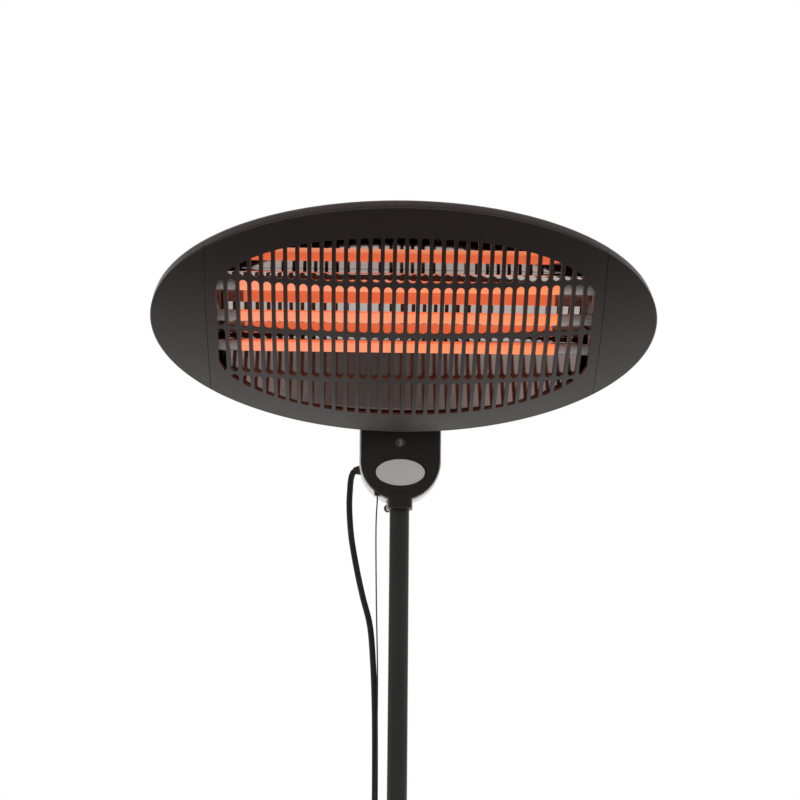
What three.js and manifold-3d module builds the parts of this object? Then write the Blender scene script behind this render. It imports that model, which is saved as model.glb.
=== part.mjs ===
// Infrared patio heater tower: an oval quartz heater head that tilts on a telescopic pole.
// Millimetres, +Z up, the front faces -Y, and the origin is at the bottom centre of the base.

import * as THREE from "three";
import { mergeGeometries, mergeVertices } from "three/addons/utils/BufferGeometryUtils.js";
import Module from "manifold-3d";

// ---------------------------------------------------------------- driving dimensions

const CLEAR = 0.3; // gap between pieces that seat on or in each other
const SLIP = 0.5; // gap round what turns or slides

const BASE = { radius: 240, rim: 15, shoulder: 25.5, top: 41, skirtBottom: 5, wall: 2 };
const FOOT = { radius: 18, height: 6, circle: BASE.radius - 55, count: 4 };
const WEIGHT = { radius: BASE.radius - 22, edge: 20 };
const BOLT = { radius: 5.9, head: 10, headHeight: 7, engage: 30 };
const SOCKET = { flange: 60, flangeHeight: 5, neck: 19, skirt: 25, height: 59, floor: 9 };

const OUTER_TUBE = { radius: 15, wall: 1.5, joint: 600, top: 1130 };
const INNER_TUBE = { radius: 11, wall: 1.5, bottom: OUTER_TUBE.top - 100, groove: 1.3, grooveHalfAngle: 0.2 };
const COUPLER = { reach: 40, wall: 1.4 };
const COLLAR = { radius: 22, below: 45, above: 30, boss: 9, bossReach: 28 };
const BUSH = { length: 40 };
const CLAMP_KNOB = { radius: 16, length: 19, screw: 3 };

const STANCE = 1800; // height of the centre of the head, with the pole drawn out
const HEAD = { x: 0, y: -140, z: STANCE, tilt: 43 }; // centre of the rim and its downward tilt
const RIM = { a: 265, b: 134, lip: 13.6, round: 2.5, wall: 3 };
const DOME = 29; // rise of the front above the plane of the rim
const END_CAP = 60; // length of the plain cap at each end
const SEAM_X = RIM.a - END_CAP; // half length of the centre panel
const SEAM_GAP = 0.5;
const GRILLE = { pitch: 12.27, slot: 8.2, rowHeight: 57.2, bar: 4, a: SEAM_X - 7, b: 106, power: 3 };
const SHORTEST_SLOT = 7;

const HOUSING = { depth: 62, inset: 1.5, wall: 2, flange: 7, backA: 0.7, backB: 0.52 };
const VENT = { rows: 2, columns: 10, pitch: 16, rowPitch: 26, width: 5, height: 18, y: 30 };
const TUBE = { radius: 6, half: SEAM_X - 2, pitch: 36.6, depth: -11 };
const HOLDER = { start: TUBE.half - 6, length: 19, width: 15, bore: 7, height: 88 };
const REFLECTOR = { half: HOLDER.start - 1, flat: 42, floor: -32, wing: 88, lip: 12, sheet: 1 };
const TUBE_BRACKET = { half: 50, front: 2, back: -45, sheet: 1.5, foot: SEAM_X - 55, footLength: 22 };

const PIVOT = { y: -5, z: STANCE + 10, bolt: 4, block: 14, top: 14 };
const EAR = { sheet: 3, radius: 18, plateWidth: 39, plateFrom: -60, plateTo: 32 };
const WASHER = { radius: 9, thickness: 1.4 };
const STOP = { radius: 2, circle: 12, sweep: 40, spare: 1 };
const TILT_KNOB = { radius: 17, length: 22, depth: 15 };

const HUB = { radius: 43.5, bottom: STANCE - 173, top: STANCE - 12, corner: 24, front: -26, back: 26 };
const HUB_WALL = 2.5;
const HUB_SEAM = -2;
const HUB_STEP = 1; // the rear shell stands out round the front cover
const BADGE = { a: 27, b: 14.6, z: HUB.bottom + 30, thickness: 1.4 };
const WINDOW = { radius: 5.4, z: HUB.bottom + 63, thickness: 2 };
const DIAL = { x: -14.5, radius: 20.5, thickness: 1.8, spindle: 2 };
const SWITCH = { left: -37, right: -12, front: -19.6, back: 8, bottom: HUB.bottom + 49, height: 30 };
const TERMINAL = { left: 13, width: 21, front: 6, bottom: HUB.bottom + 85, height: 26 };
const TIP_SWITCH = { x: 25, front: 9, z: HUB.bottom + 53, radius: 10 };
const NECK = { radius: 13.2, bottom: HUB.bottom - 11, top: HUB.bottom + 14 };
const LOCK = { z: NECK.bottom + 5.2, radius: 4.5, length: 10, screw: 2, x: -0.6, y: 0.8 };
const SCREW = { radius: 4, height: 2.4, shank: 1.8, reach: 10 };

const CORD = 6.8; // diameter of the mains lead
const GLAND = { root: 6.6, tip: 4.4 };
const CLIP = { wall: 2, height: 11, heights: [880, 260] };
const STRING = { diameter: 1.6, x: -25, y: -17, length: 420 };
const PLUNGER = { radius: 2.2, bottom: HUB.bottom + 29, length: 36 };
const HANDLE = { radius: 7, length: 30 };

const COIL = { x: 74, y: 305, radius: 38.5, spacing: 8.2, inward: 1.75, lift: 1.5 };
const TIE = { width: 12, sheet: 1 };
const PLUG = { radius: 18.5, sleeve: 30, body: 36, pin: 2.4, pinLength: 19, pinSpacing: 19 };

const ROUND = 18; // sides of a turned piece
const FINE_ROUND = 36;

// ---------------------------------------------------------------- solids and booleans

const wasm = await Module();
wasm.setup();

// One closed skin: shared corners merged, empty triangles dropped, faces turned outwards.
function skin(geometry) {
  const loose = geometry.index ? geometry.toNonIndexed() : geometry;
  const bare = new THREE.BufferGeometry();
  bare.setAttribute("position", loose.getAttribute("position").clone());
  const merged = mergeVertices(bare, 1e-4);
  const old = merged.index.array;
  const kept = [];
  for (let i = 0; i < old.length; i += 3) {
    const corners = [old[i], old[i + 1], old[i + 2]];
    if (new Set(corners).size === 3) kept.push(...corners);
  }
  if (signedVolume(merged, kept) < 0) kept.reverse();
  merged.setIndex(kept);
  return merged;
}

function signedVolume(geometry, index) {
  const points = geometry.getAttribute("position");
  const [a, b, c] = [new THREE.Vector3(), new THREE.Vector3(), new THREE.Vector3()];
  let sum = 0;
  for (let i = 0; i < index.length; i += 3) {
    a.fromBufferAttribute(points, index[i]);
    b.fromBufferAttribute(points, index[i + 1]);
    c.fromBufferAttribute(points, index[i + 2]);
    sum += a.dot(b.cross(c));
  }
  return sum / 6;
}

function toSolid(geometry) {
  const closed = skin(geometry);
  const vertProperties = closed.getAttribute("position").array;
  const triVerts = new Uint32Array(closed.index.array);
  return new wasm.Manifold(new wasm.Mesh({ numProp: 3, vertProperties, triVerts }));
}

function toGeometry(solid) {
  const mesh = solid.getMesh();
  const positions = new Float32Array(mesh.numVert * 3);
  for (let i = 0; i < mesh.numVert; i++) {
    positions.set(mesh.vertProperties.subarray(i * mesh.numProp, i * mesh.numProp + 3), i * 3);
  }
  const geometry = new THREE.BufferGeometry();
  geometry.setAttribute("position", new THREE.BufferAttribute(positions, 3));
  geometry.setIndex(new THREE.BufferAttribute(mesh.triVerts, 1));
  return geometry;
}

const join = (first, ...rest) =>
  toGeometry(rest.reduce((whole, piece) => whole.add(toSolid(piece)), toSolid(first)));

const cut = (first, ...tools) =>
  toGeometry(tools.reduce((whole, tool) => whole.subtract(toSolid(tool)), toSolid(first)));

const common = (first, second) => toGeometry(toSolid(first).intersect(toSolid(second)));

// ---------------------------------------------------------------- forms

// A turned piece: [radius, z] pairs, revolved about +Z.
function turned(profile, sides = ROUND) {
  const points = profile.map(([radius, z]) => new THREE.Vector2(radius, z));
  return skin(new THREE.LatheGeometry(points, sides).rotateX(Math.PI / 2));
}

// A ring or pipe: the profile closes on itself.
const pipe = (inner, outer, bottom, top, sides = ROUND) =>
  turned([[inner, bottom], [outer, bottom], [outer, top], [inner, top], [inner, bottom]], sides);

const rod = (radius, bottom, top, sides = ROUND) =>
  turned([[0, bottom], [radius, bottom], [radius, top], [0, top]], sides);

// A block given by its lowest and highest corners.
function block([x0, y0, z0], [x1, y1, z1]) {
  const box = new THREE.BoxGeometry(x1 - x0, y1 - y0, z1 - z0);
  return box.translate((x0 + x1) / 2, (y0 + y1) / 2, (z0 + z1) / 2);
}

// An outline in [x, y] extruded along +Z from one height to another.
function slab(outline, bottom, top, holes = []) {
  const shape = new THREE.Shape(outline.map(([x, y]) => new THREE.Vector2(x, y)));
  for (const hole of holes) {
    shape.holes.push(new THREE.Path(hole.map(([x, y]) => new THREE.Vector2(x, y))));
  }
  const options = { depth: top - bottom, bevelEnabled: false };
  return skin(new THREE.ExtrudeGeometry(shape, options).translate(0, 0, bottom));
}

// The same, with the outline in [y, z] and the depth along +X.
const slabAlongX = (outline, from, to, holes) =>
  slab(outline, from, to, holes).applyMatrix4(
    new THREE.Matrix4().makeBasis(
      new THREE.Vector3(0, 1, 0), new THREE.Vector3(0, 0, 1), new THREE.Vector3(1, 0, 0)),
  );

const mirrored = (geometry) => skin(geometry.scale(-1, 1, 1));
const alongX = (geometry) => geometry.rotateY(Math.PI / 2);
const alongY = (geometry) => geometry.rotateX(-Math.PI / 2);

function circle(radius, sides, x = 0, y = 0) {
  const points = [];
  for (let i = 0; i < sides; i++) {
    const angle = (2 * Math.PI * i) / sides;
    points.push([x + radius * Math.cos(angle), y + radius * Math.sin(angle)]);
  }
  return points;
}

function arc(radius, from, to, steps, x = 0, y = 0) {
  const points = [];
  for (let i = 0; i <= steps; i++) {
    const angle = THREE.MathUtils.degToRad(from + ((to - from) * i) / steps);
    points.push([x + radius * Math.cos(angle), y + radius * Math.sin(angle)]);
  }
  return points;
}

// A loft through rings with the same number of points. flat tells how a capped end lies.
function loft(rings, flat, caps = [true, true]) {
  const count = rings[0].length;
  const positions = [];
  const put = (...points) => points.forEach((p) => positions.push(p.x, p.y, p.z));
  for (let r = 0; r + 1 < rings.length; r++) {
    for (let i = 0; i < count; i++) {
      const j = (i + 1) % count;
      put(rings[r][i], rings[r][j], rings[r + 1][j]);
      put(rings[r][i], rings[r + 1][j], rings[r + 1][i]);
    }
  }
  // The triangles of a cap come anticlockwise, whichever way round its outline runs.
  const cap = (ring, last) => {
    const outline = ring.map(flat);
    const flip = THREE.ShapeUtils.isClockWise(outline) === last;
    for (const [p, q, r] of THREE.ShapeUtils.triangulateShape(outline, [])) {
      put(ring[p], ring[flip ? r : q], ring[flip ? q : r]);
    }
  };
  if (caps[0]) cap(rings[0], false);
  if (caps[1]) cap(rings[rings.length - 1], true);
  const geometry = new THREE.BufferGeometry();
  geometry.setAttribute("position", new THREE.Float32BufferAttribute(positions, 3));
  return skin(geometry);
}

const dropX = (p) => new THREE.Vector2(p.y, p.z);
const dropY = (p) => new THREE.Vector2(p.x, p.z);
const dropZ = (p) => new THREE.Vector2(p.x, p.y);

// A round tube along a curve.
function tubeAlong(curve, diameter, sides, steps) {
  const outline = circle(diameter / 2, sides).map(([x, y]) => new THREE.Vector2(x, y));
  const options = { steps, extrudePath: curve, bevelEnabled: false };
  return skin(new THREE.ExtrudeGeometry(new THREE.Shape(outline), options));
}

const vectors = (points) => points.map(([x, y, z]) => new THREE.Vector3(x, y, z));

function smoothCurve(points) {
  const curve = new THREE.CatmullRomCurve3(vectors(points), false, "centripetal");
  curve.arcLengthDivisions = 1200;
  return curve;
}

// A hand knob with lobes, its face up, from z = 0 to its length.
function lobedKnob(radius, length, lobes = 6) {
  const outline = [];
  const steps = lobes * 4;
  for (let i = 0; i < steps; i++) {
    const angle = (2 * Math.PI * i) / steps;
    const reach = radius * (0.9 + 0.1 * Math.cos(lobes * angle));
    outline.push([reach * Math.cos(angle), reach * Math.sin(angle)]);
  }
  const ring = (scale, z) => outline.map(([x, y]) => new THREE.Vector3(x * scale, y * scale, z));
  return loft(
    [ring(0.5, 0), ring(0.62, length * 0.35), ring(0.97, length * 0.42),
      ring(1, length * 0.5), ring(1, length * 0.9), ring(0.9, length)],
    dropZ,
  );
}

// ---------------------------------------------------------------- materials

const material = (color, roughness, metalness = 0) =>
  new THREE.MeshStandardMaterial({ color, roughness, metalness });

const MATERIALS = {
  blackPaint: () => material(0x1d1b1b, 0.35, 0.3),
  blackPlastic: () => material(0x1a1919, 0.5),
  greyShell: () => material(0x8d8b89, 0.4, 0.3),
  satinMetal: () => material(0xa9a5a1, 0.4, 0.8),
  mirror: () => material(0xd8d6d2, 0.12, 1),
  quartz: () => material(0xff8a5c, 0.3),
  ceramic: () => material(0xe8e2d6, 0.7),
  steel: () => material(0x9a9a9a, 0.45, 0.9),
  rubber: () => material(0x161616, 0.85),
  concrete: () => material(0x8b8781, 0.9),
  nylon: () => material(0xdad8d2, 0.6),
  clear: () => material(0xb8b8b8, 0.1),
  cable: () => material(0x202020, 0.6),
};

const heater = new THREE.Group();

function add(parent, name, geometry, finish) {
  const mesh = new THREE.Mesh(geometry, MATERIALS[finish]());
  mesh.name = name;
  parent.add(mesh);
}

// ---------------------------------------------------------------- base and lower pole

const baseGroup = new THREE.Group();
heater.add(baseGroup);

// Height of the outside of the base cover at a radius.
function coverTop(radius) {
  const edge = BASE.radius - 14;
  const inner = SOCKET.flange + 4;
  const share = THREE.MathUtils.clamp((edge - radius) / (edge - inner), 0, 1);
  return BASE.shoulder + (BASE.top - BASE.shoulder) * (1 - (1 - share) ** 1.6);
}

const coverRadii = () => {
  const edge = BASE.radius - 14;
  const inner = SOCKET.flange + 4;
  return [0, 0.35, 0.7, 1].map((share) => edge + (inner - edge) * share);
};

function baseCover() {
  const { radius, rim, skirtBottom, wall, top } = BASE;
  const outside = coverRadii().map((r) => [r, coverTop(r)]);
  const inside = [outside[3], outside[1], outside[0]].map(([r, z]) => [r - wall / 3, z - wall]);
  const hole = BOLT.radius + SLIP;
  return turned([
    [radius - wall, skirtBottom], [radius, skirtBottom], [radius, rim],
    [radius - 4, rim + 6], ...outside, [hole, top], [hole, top - wall], ...inside,
    [radius - 4 - wall, rim + 6 - wall], [radius - wall, rim - wall / 2],
    [radius - wall, skirtBottom],
  ], FINE_ROUND);
}

const weightBottom = FOOT.height + CLEAR;
const boltSeat = weightBottom + BOLT.headHeight + 2;

function baseWeight() {
  const under = BASE.top - BASE.wall - CLEAR;
  const slope = coverRadii().filter((r) => r < WEIGHT.radius - 4)
    .map((r) => [r, coverTop(r) - BASE.wall - 2]);
  const recess = BOLT.head + 2;
  const hole = BOLT.radius + CLEAR;
  return turned([
    [recess, weightBottom], [WEIGHT.radius - 4, weightBottom], [WEIGHT.radius, weightBottom + 4],
    [WEIGHT.radius, WEIGHT.edge - 2], [WEIGHT.radius - 3, WEIGHT.edge], ...slope,
    [SOCKET.flange, under], [hole, under], [hole, boltSeat], [recess, boltSeat],
    [recess, weightBottom],
  ]);
}

function rubberFoot() {
  const { radius, height } = FOOT;
  return turned([[0, 0], [radius - 2, 0], [radius, 2], [radius, height - 1],
    [radius - 1, height], [0, height]], 12);
}

const tubeFoot = BASE.top + CLEAR + SOCKET.floor + CLEAR;

function poleSocket() {
  const bottom = BASE.top + CLEAR;
  const { flange, flangeHeight, neck, skirt, height, floor } = SOCKET;
  const bore = OUTER_TUBE.radius + CLEAR;
  const hole = BOLT.radius + CLEAR;
  return turned([
    [hole, bottom], [flange, bottom], [flange, bottom + flangeHeight - 2],
    [flange - 2, bottom + flangeHeight], [skirt + 5, bottom + flangeHeight + 1],
    [skirt, bottom + flangeHeight + 5], [neck + 1, bottom + height - 3],
    [neck - 1, bottom + height], [bore, bottom + height], [bore, bottom + floor],
    [hole, bottom + floor], [hole, bottom],
  ]);
}

function baseBolt() {
  const head = rod(BOLT.head, boltSeat - CLEAR - BOLT.headHeight, boltSeat - CLEAR, 6);
  return join(head, rod(BOLT.radius, boltSeat - BOLT.headHeight, tubeFoot + BOLT.engage, 20));
}

function lowerTube() {
  const { radius, wall, joint } = OUTER_TUBE;
  const inner = radius - wall;
  const nut = tubeFoot + BOLT.engage - 5;
  const hole = BOLT.radius + CLEAR;
  return turned([
    [hole, tubeFoot], [radius, tubeFoot], [radius, joint - CLEAR / 2],
    [inner, joint - CLEAR / 2], [inner, nut], [hole, nut], [hole, tubeFoot],
  ]);
}

add(baseGroup, "base_cover", baseCover(), "blackPaint");
add(baseGroup, "base_weight", baseWeight(), "concrete");
for (let i = 0; i < FOOT.count; i++) {
  const angle = (2 * Math.PI * (i + 0.5)) / FOOT.count;
  const foot = rubberFoot().translate(
    FOOT.circle * Math.cos(angle), FOOT.circle * Math.sin(angle), 0);
  add(baseGroup, `rubber_foot_${i + 1}`, foot, "rubber");
}
add(baseGroup, "pole_socket", poleSocket(), "blackPlastic");
add(baseGroup, "base_bolt", baseBolt(), "steel");
add(baseGroup, "lower_tube", lowerTube(), "blackPaint");
add(baseGroup, "middle_tube",
  pipe(OUTER_TUBE.radius - OUTER_TUBE.wall, OUTER_TUBE.radius,
    OUTER_TUBE.joint + CLEAR / 2, OUTER_TUBE.top), "blackPaint");

const sleeveRadius = OUTER_TUBE.radius - OUTER_TUBE.wall - CLEAR;
add(baseGroup, "tube_coupler",
  pipe(sleeveRadius - COUPLER.wall, sleeveRadius,
    OUTER_TUBE.joint - COUPLER.reach, OUTER_TUBE.joint + COUPLER.reach), "steel");

// ---------------------------------------------------------------- telescopic pole and its clamp

// The inner tube has a groove pressed along its back, and the bush a key that runs in it.
function groovedCircle(radius, sides) {
  const points = [];
  const { groove, grooveHalfAngle } = INNER_TUBE;
  for (let i = 0; i < sides; i++) {
    const angle = (2 * Math.PI * i) / sides;
    const away = Math.abs(angle - Math.PI / 2);
    const reach = radius - (away < grooveHalfAngle ? groove : 0);
    points.push([reach * Math.cos(angle), reach * Math.sin(angle)]);
  }
  return points;
}

const hubFloor = HUB.bottom + HUB.radius;
const innerTubeTop = HUB.top - 18;

const upperTube = () =>
  slab(groovedCircle(INNER_TUBE.radius, ROUND), INNER_TUBE.bottom, innerTubeTop,
    [groovedCircle(INNER_TUBE.radius - INNER_TUBE.wall, ROUND)]);

const bushTop = OUTER_TUBE.top - CLEAR;
const slideBush = () =>
  slab(circle(sleeveRadius, ROUND), bushTop - BUSH.length, bushTop,
    [groovedCircle(INNER_TUBE.radius + CLEAR, ROUND)]);

const collarBottom = OUTER_TUBE.top - COLLAR.below;
const collarTop = OUTER_TUBE.top + COLLAR.above;
const clampZ = OUTER_TUBE.top + COLLAR.above / 2;
const cordBore = CORD / 2 + CLEAR;
const eyeReach = COLLAR.radius + cordBore + 1.2;
const backLeft = new THREE.Vector2(-1, 1).normalize(); // the side of the pole the lead runs down
const eyeTop = collarTop - 10;

function clampCollar() {
  const { radius, boss, bossReach } = COLLAR;
  const tubeBore = OUTER_TUBE.radius + CLEAR;
  const slideBore = INNER_TUBE.radius + SLIP;
  const body = turned([
    [tubeBore, collarBottom], [radius - 2, collarBottom], [radius, collarBottom + 3],
    [radius, collarTop - 8], [radius - 5, collarTop], [slideBore, collarTop],
    [slideBore, OUTER_TUBE.top + CLEAR], [tubeBore, OUTER_TUBE.top + CLEAR],
    [tubeBore, collarBottom],
  ]);
  const bossRod = alongX(rod(boss, slideBore + 4, bossReach, 14)).translate(0, 0, clampZ);
  const eye = rod(cordBore + 1.8, eyeTop - 30, eyeTop, 10)
    .translate(backLeft.x * eyeReach, backLeft.y * eyeReach, 0);
  const eyeBore = rod(cordBore, eyeTop - 31, eyeTop + 1, 10)
    .translate(backLeft.x * eyeReach, backLeft.y * eyeReach, 0);
  const screwBore = alongX(rod(CLAMP_KNOB.screw + CLEAR, 5, bossReach + 1, 10))
    .translate(0, 0, clampZ);
  return cut(join(body, bossRod, eye), eyeBore, screwBore);
}

function clampKnob() {
  const grip = lobedKnob(CLAMP_KNOB.radius, CLAMP_KNOB.length).translate(
    0, 0, COLLAR.bossReach + CLEAR);
  const screw = rod(CLAMP_KNOB.screw, INNER_TUBE.radius + CLEAR, COLLAR.bossReach + 4, 16);
  return alongX(join(grip, screw)).translate(0, 0, clampZ);
}

// A clip snaps round the outer tube and holds the lead beside it.
const clipReach = OUTER_TUBE.radius + CLEAR + CLIP.wall / 2 + cordBore;
function cableClip(z) {
  const at = [backLeft.x * clipReach, backLeft.y * clipReach];
  const inner = OUTER_TUBE.radius + CLEAR;
  const top = z + CLIP.height;
  return cut(
    join(rod(inner + CLIP.wall, z, top, 20), rod(cordBore + 1.6, z, top, 10).translate(...at, 0)),
    rod(inner, z - 1, top + 1, 20),
    rod(cordBore, z - 1, top + 1, 10).translate(...at, 0),
  );
}

const mastGroup = new THREE.Group();
heater.add(mastGroup);

add(mastGroup, "upper_tube", upperTube(), "blackPaint");
add(baseGroup, "slide_bush", slideBush(), "nylon");
add(baseGroup, "height_clamp_collar", clampCollar(), "blackPlastic");
add(baseGroup, "height_clamp_knob", clampKnob(), "blackPlastic");
CLIP.heights.forEach((z, i) => add(baseGroup, `cable_clip_${i + 1}`, cableClip(z), "blackPlastic"));

// ---------------------------------------------------------------- hub on top of the pole

// Outline of the hub seen from the front: a half round below, rounded corners above.
function hubRing(inset, y) {
  const lower = arc(HUB.radius - inset, 180, 360, 14, 0, hubFloor);
  const corner = HUB.corner - inset;
  const cornerX = HUB.radius - HUB.corner;
  const cornerZ = HUB.top - HUB.corner;
  const right = arc(corner, 0, 90, 3, cornerX, cornerZ);
  const left = arc(corner, 90, 180, 3, -cornerX, cornerZ);
  return [...lower, ...right, ...left].map(([x, z]) => new THREE.Vector3(x, y, z));
}

const neckBore = NECK.radius + CLEAR;
const poleBore = INNER_TUBE.radius + SLIP;
const stemRadius = INNER_TUBE.radius - INNER_TUBE.wall - CLEAR;

// What passes through both shells: the neck, the stem of the pivot block and the gland.
const hubBores = () => [
  rod(neckBore, HUB.bottom - 5, HUB.bottom + 12),
  rod(poleBore, HUB.top - 10, HUB.top + 5),
  alongX(rod(GLAND.root + CLEAR, -HUB.radius - 8, -HUB.radius + 8, 20)).translate(0, 0, glandZ),
];
const glandZ = HUB.bottom + 37.5;

function hubFrontCover() {
  const { front } = HUB;
  const t = HUB_WALL;
  const shell = loft([
    hubRing(6, front), hubRing(2, front + 0.8), hubRing(0.4, front + 3), hubRing(0, front + 7),
    hubRing(0, HUB_SEAM), hubRing(t, HUB_SEAM), hubRing(t, front + 7),
    hubRing(6.5, front + t),
  ], dropY);
  const windowHole = alongY(rod(WINDOW.radius + CLEAR, -1, 10, 24))
    .translate(0, front, WINDOW.z);
  const stringHole = rod(stringGuideRadius + CLEAR, HUB.bottom - 10, hubFloor - 20, 16)
    .translate(STRING.x, STRING.y, 0);
  return cut(shell, windowHole, stringHole, ...hubBores());
}

const stringGuideRadius = 3.4;
const screwSpots = [[-30, HUB.top - 24], [30, HUB.top - 24]];

function hubRearShell() {
  const { back } = HUB;
  const t = HUB_WALL;
  const out = -HUB_STEP;
  const start = HUB_SEAM + CLEAR;
  const shell = loft([
    hubRing(7, back), hubRing(2, back - 1), hubRing(out, back - 6), hubRing(out, start),
    hubRing(t, start), hubRing(t, back - 7), hubRing(7.5, back - t),
  ], dropY);
  const holes = screwSpots.map(([x, z]) =>
    alongY(rod(SCREW.shank + CLEAR, -8, 2, 12)).translate(x, back, z));
  return cut(shell, ...hubBores(), ...holes);
}

function badgePlate() {
  const ring = (scale, y) => circle(1, 28).map(
    ([x, z]) => new THREE.Vector3(x * BADGE.a * scale, y, BADGE.z + z * BADGE.b * scale));
  const seat = HUB.front - CLEAR;
  return loft([ring(1, seat), ring(1, seat - BADGE.thickness * 0.6),
    ring(0.965, seat - BADGE.thickness)], dropY);
}

function levelWindow() {
  const face = HUB.front - 0.4;
  return alongY(turned([[0, 0], [WINDOW.radius - 0.4, 0], [WINDOW.radius, 0.5],
    [WINDOW.radius, WINDOW.thickness], [0, WINDOW.thickness]], 24)).translate(0, face, WINDOW.z);
}

const dialBack = SWITCH.front - CLEAR;
function levelDial() {
  const disc = pipe(DIAL.spindle + CLEAR, DIAL.radius, 0, DIAL.thickness);
  return alongY(disc).translate(DIAL.x, dialBack - DIAL.thickness, WINDOW.z);
}

function pullSwitch() {
  const { left, right, front, back, bottom, height } = SWITCH;
  const body = block([left, front, bottom], [right, back, bottom + height]);
  const foot = block([left + 5, back - 1, bottom + 4],
    [left + 13, HUB.back - HUB_WALL - CLEAR, bottom + height - 4]);
  const spindle = alongY(rod(DIAL.spindle, 0, DIAL.thickness + 2, 10))
    .translate(DIAL.x, dialBack - DIAL.thickness, WINDOW.z);
  const bore = rod(PLUNGER.radius + SLIP, bottom - 1, plungerTop + 1, 14)
    .translate(STRING.x, STRING.y, 0);
  return cut(join(body, foot, spindle), bore);
}

const plungerTop = PLUNGER.bottom + PLUNGER.length;

function terminalBlock() {
  const { left, width, front, bottom, height } = TERMINAL;
  const back = HUB.back - HUB_WALL - CLEAR;
  const wells = [0.25, 0.5, 0.75].map((share) =>
    alongY(rod(2.2, -1, 7, 8)).translate(left + width / 2, front, bottom + height * share));
  const ways = [0.25, 0.5, 0.75].map((share) =>
    alongX(rod(1.6, -1, 6, 6)).translate(left, front + 9, bottom + height * share));
  return cut(block([left, front, bottom], [left + width, back, bottom + height]),
    ...wells, ...ways);
}

function tipOverSwitch() {
  const back = HUB.back - HUB_WALL - CLEAR;
  const { x, z, radius, front } = TIP_SWITCH;
  const can = alongY(turned([[0, 0], [radius - 1, 0], [radius, 1], [radius, back - front],
    [0, back - front]], 20)).translate(x, front, z);
  const tab = block([x - 3, back - 1.5, z], [x + 3, back, z + radius + 5]);
  return join(can, tab);
}

function neckCollar() {
  const { radius, bottom, top } = NECK;
  const bore = INNER_TUBE.radius + CLEAR;
  const ring = turned([[bore, bottom], [radius - 1, bottom], [radius, bottom + 1.2],
    [radius, top], [bore, top], [bore, bottom]]);
  return cut(ring, lockAxis(rod(LOCK.screw + CLEAR, 8, 20, 12)));
}

// Turns a piece built along +Z to point along the axis of the neck screw.
const lockAxis = (geometry) => {
  const direction = new THREE.Vector3(LOCK.x, LOCK.y, 0).normalize();
  const turn = new THREE.Quaternion().setFromUnitVectors(new THREE.Vector3(0, 0, 1), direction);
  return geometry.applyQuaternion(turn).translate(0, 0, LOCK.z);
};

function lockKnob() {
  const from = NECK.radius + SLIP;
  const grip = turned([[0, from], [LOCK.radius - 1, from], [LOCK.radius, from + 1.5],
    [LOCK.radius, from + LOCK.length - 1], [LOCK.radius - 1, from + LOCK.length],
    [0, from + LOCK.length]], 16);
  return lockAxis(join(grip, rod(LOCK.screw, INNER_TUBE.radius + CLEAR, from + 2, 12)));
}

function pivotBlock() {
  const stem = slab(groovedCircle(stemRadius, ROUND), innerTubeTop - 40, innerTubeTop + 2);
  const shoulder = rod(INNER_TUBE.radius, innerTubeTop + CLEAR, HUB.top + 3, 24);
  const { y, z, block: half, top } = PIVOT;
  const cheek = [
    ...arc(top, 0, 180, 10, y, z), [y - top, HUB.top + CLEAR + 1], [y + top + 3, HUB.top + CLEAR + 1],
  ];
  const body = slabAlongX(cheek, -half, half);
  const bore = alongX(rod(PIVOT.bolt + CLEAR, -half - 1, half + 1, 20)).translate(0, y, z);
  const pinBore = alongX(rod(STOP.radius + CLEAR, -half - 1, half + 1, 12))
    .translate(0, y, z - STOP.circle);
  return cut(join(stem, shoulder, body), bore, pinBore);
}

const earInner = PIVOT.block + WASHER.thickness + 2 * CLEAR;
const stopHalf = earInner + EAR.sheet + 1.5;
const stopPin = () =>
  alongX(rod(STOP.radius, -stopHalf, stopHalf, 12)).translate(0, PIVOT.y, PIVOT.z - STOP.circle);

function hubScrew([x, z]) {
  const seat = HUB.back + CLEAR;
  const head = turned([[0, 0], [SCREW.radius, 0], [SCREW.radius, SCREW.height * 0.5],
    [SCREW.radius * 0.7, SCREW.height], [0, SCREW.height]], 12);
  const shank = rod(SCREW.shank, -SCREW.reach, 0.5, 12);
  return alongY(join(head, shank)).translate(x, seat, z);
}

// The elbow gland turns the lead down as it leaves the side of the hub.
function cableGland() {
  const path = new THREE.CatmullRomCurve3(vectors([
    [-HUB.radius + 4, 0, glandZ], [-HUB.radius - 2.5, 0, glandZ - 0.4],
    [leadStart[0] + 3.4, 0, glandZ - 4], [leadStart[0] + 0.5, 0, glandZ - 12],
    [leadStart[0], 0, glandZ - 19.5], [leadStart[0], 0, leadStart[2] + CLEAR],
  ]), false, "centripetal");
  const rings = [];
  const steps = 8;
  const sides = 12;
  for (let i = 0; i <= steps; i++) {
    const centre = path.getPoint(i / steps);
    const tangent = path.getTangent(i / steps);
    const across = new THREE.Vector3(0, 1, 0);
    const up = new THREE.Vector3().crossVectors(tangent, across).normalize();
    const radius = THREE.MathUtils.lerp(GLAND.root, GLAND.tip, i / steps);
    rings.push(circle(radius, sides).map(([u, v]) =>
      centre.clone().addScaledVector(across, u).addScaledVector(up, v)));
  }
  return loft(rings, (p) => new THREE.Vector2(p.y, p.z - p.x));
}

const leadStart = [-HUB.radius - 11.9, 0, glandZ - 25];

const stringGuide = () =>
  pipe(STRING.diameter / 2 + SLIP, stringGuideRadius, guideBottom, guideBottom + 9, 16)
    .translate(STRING.x, STRING.y, 0);
const guideBottom = hubFloor - Math.sqrt(HUB.radius ** 2 - STRING.x ** 2) - 3;

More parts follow.
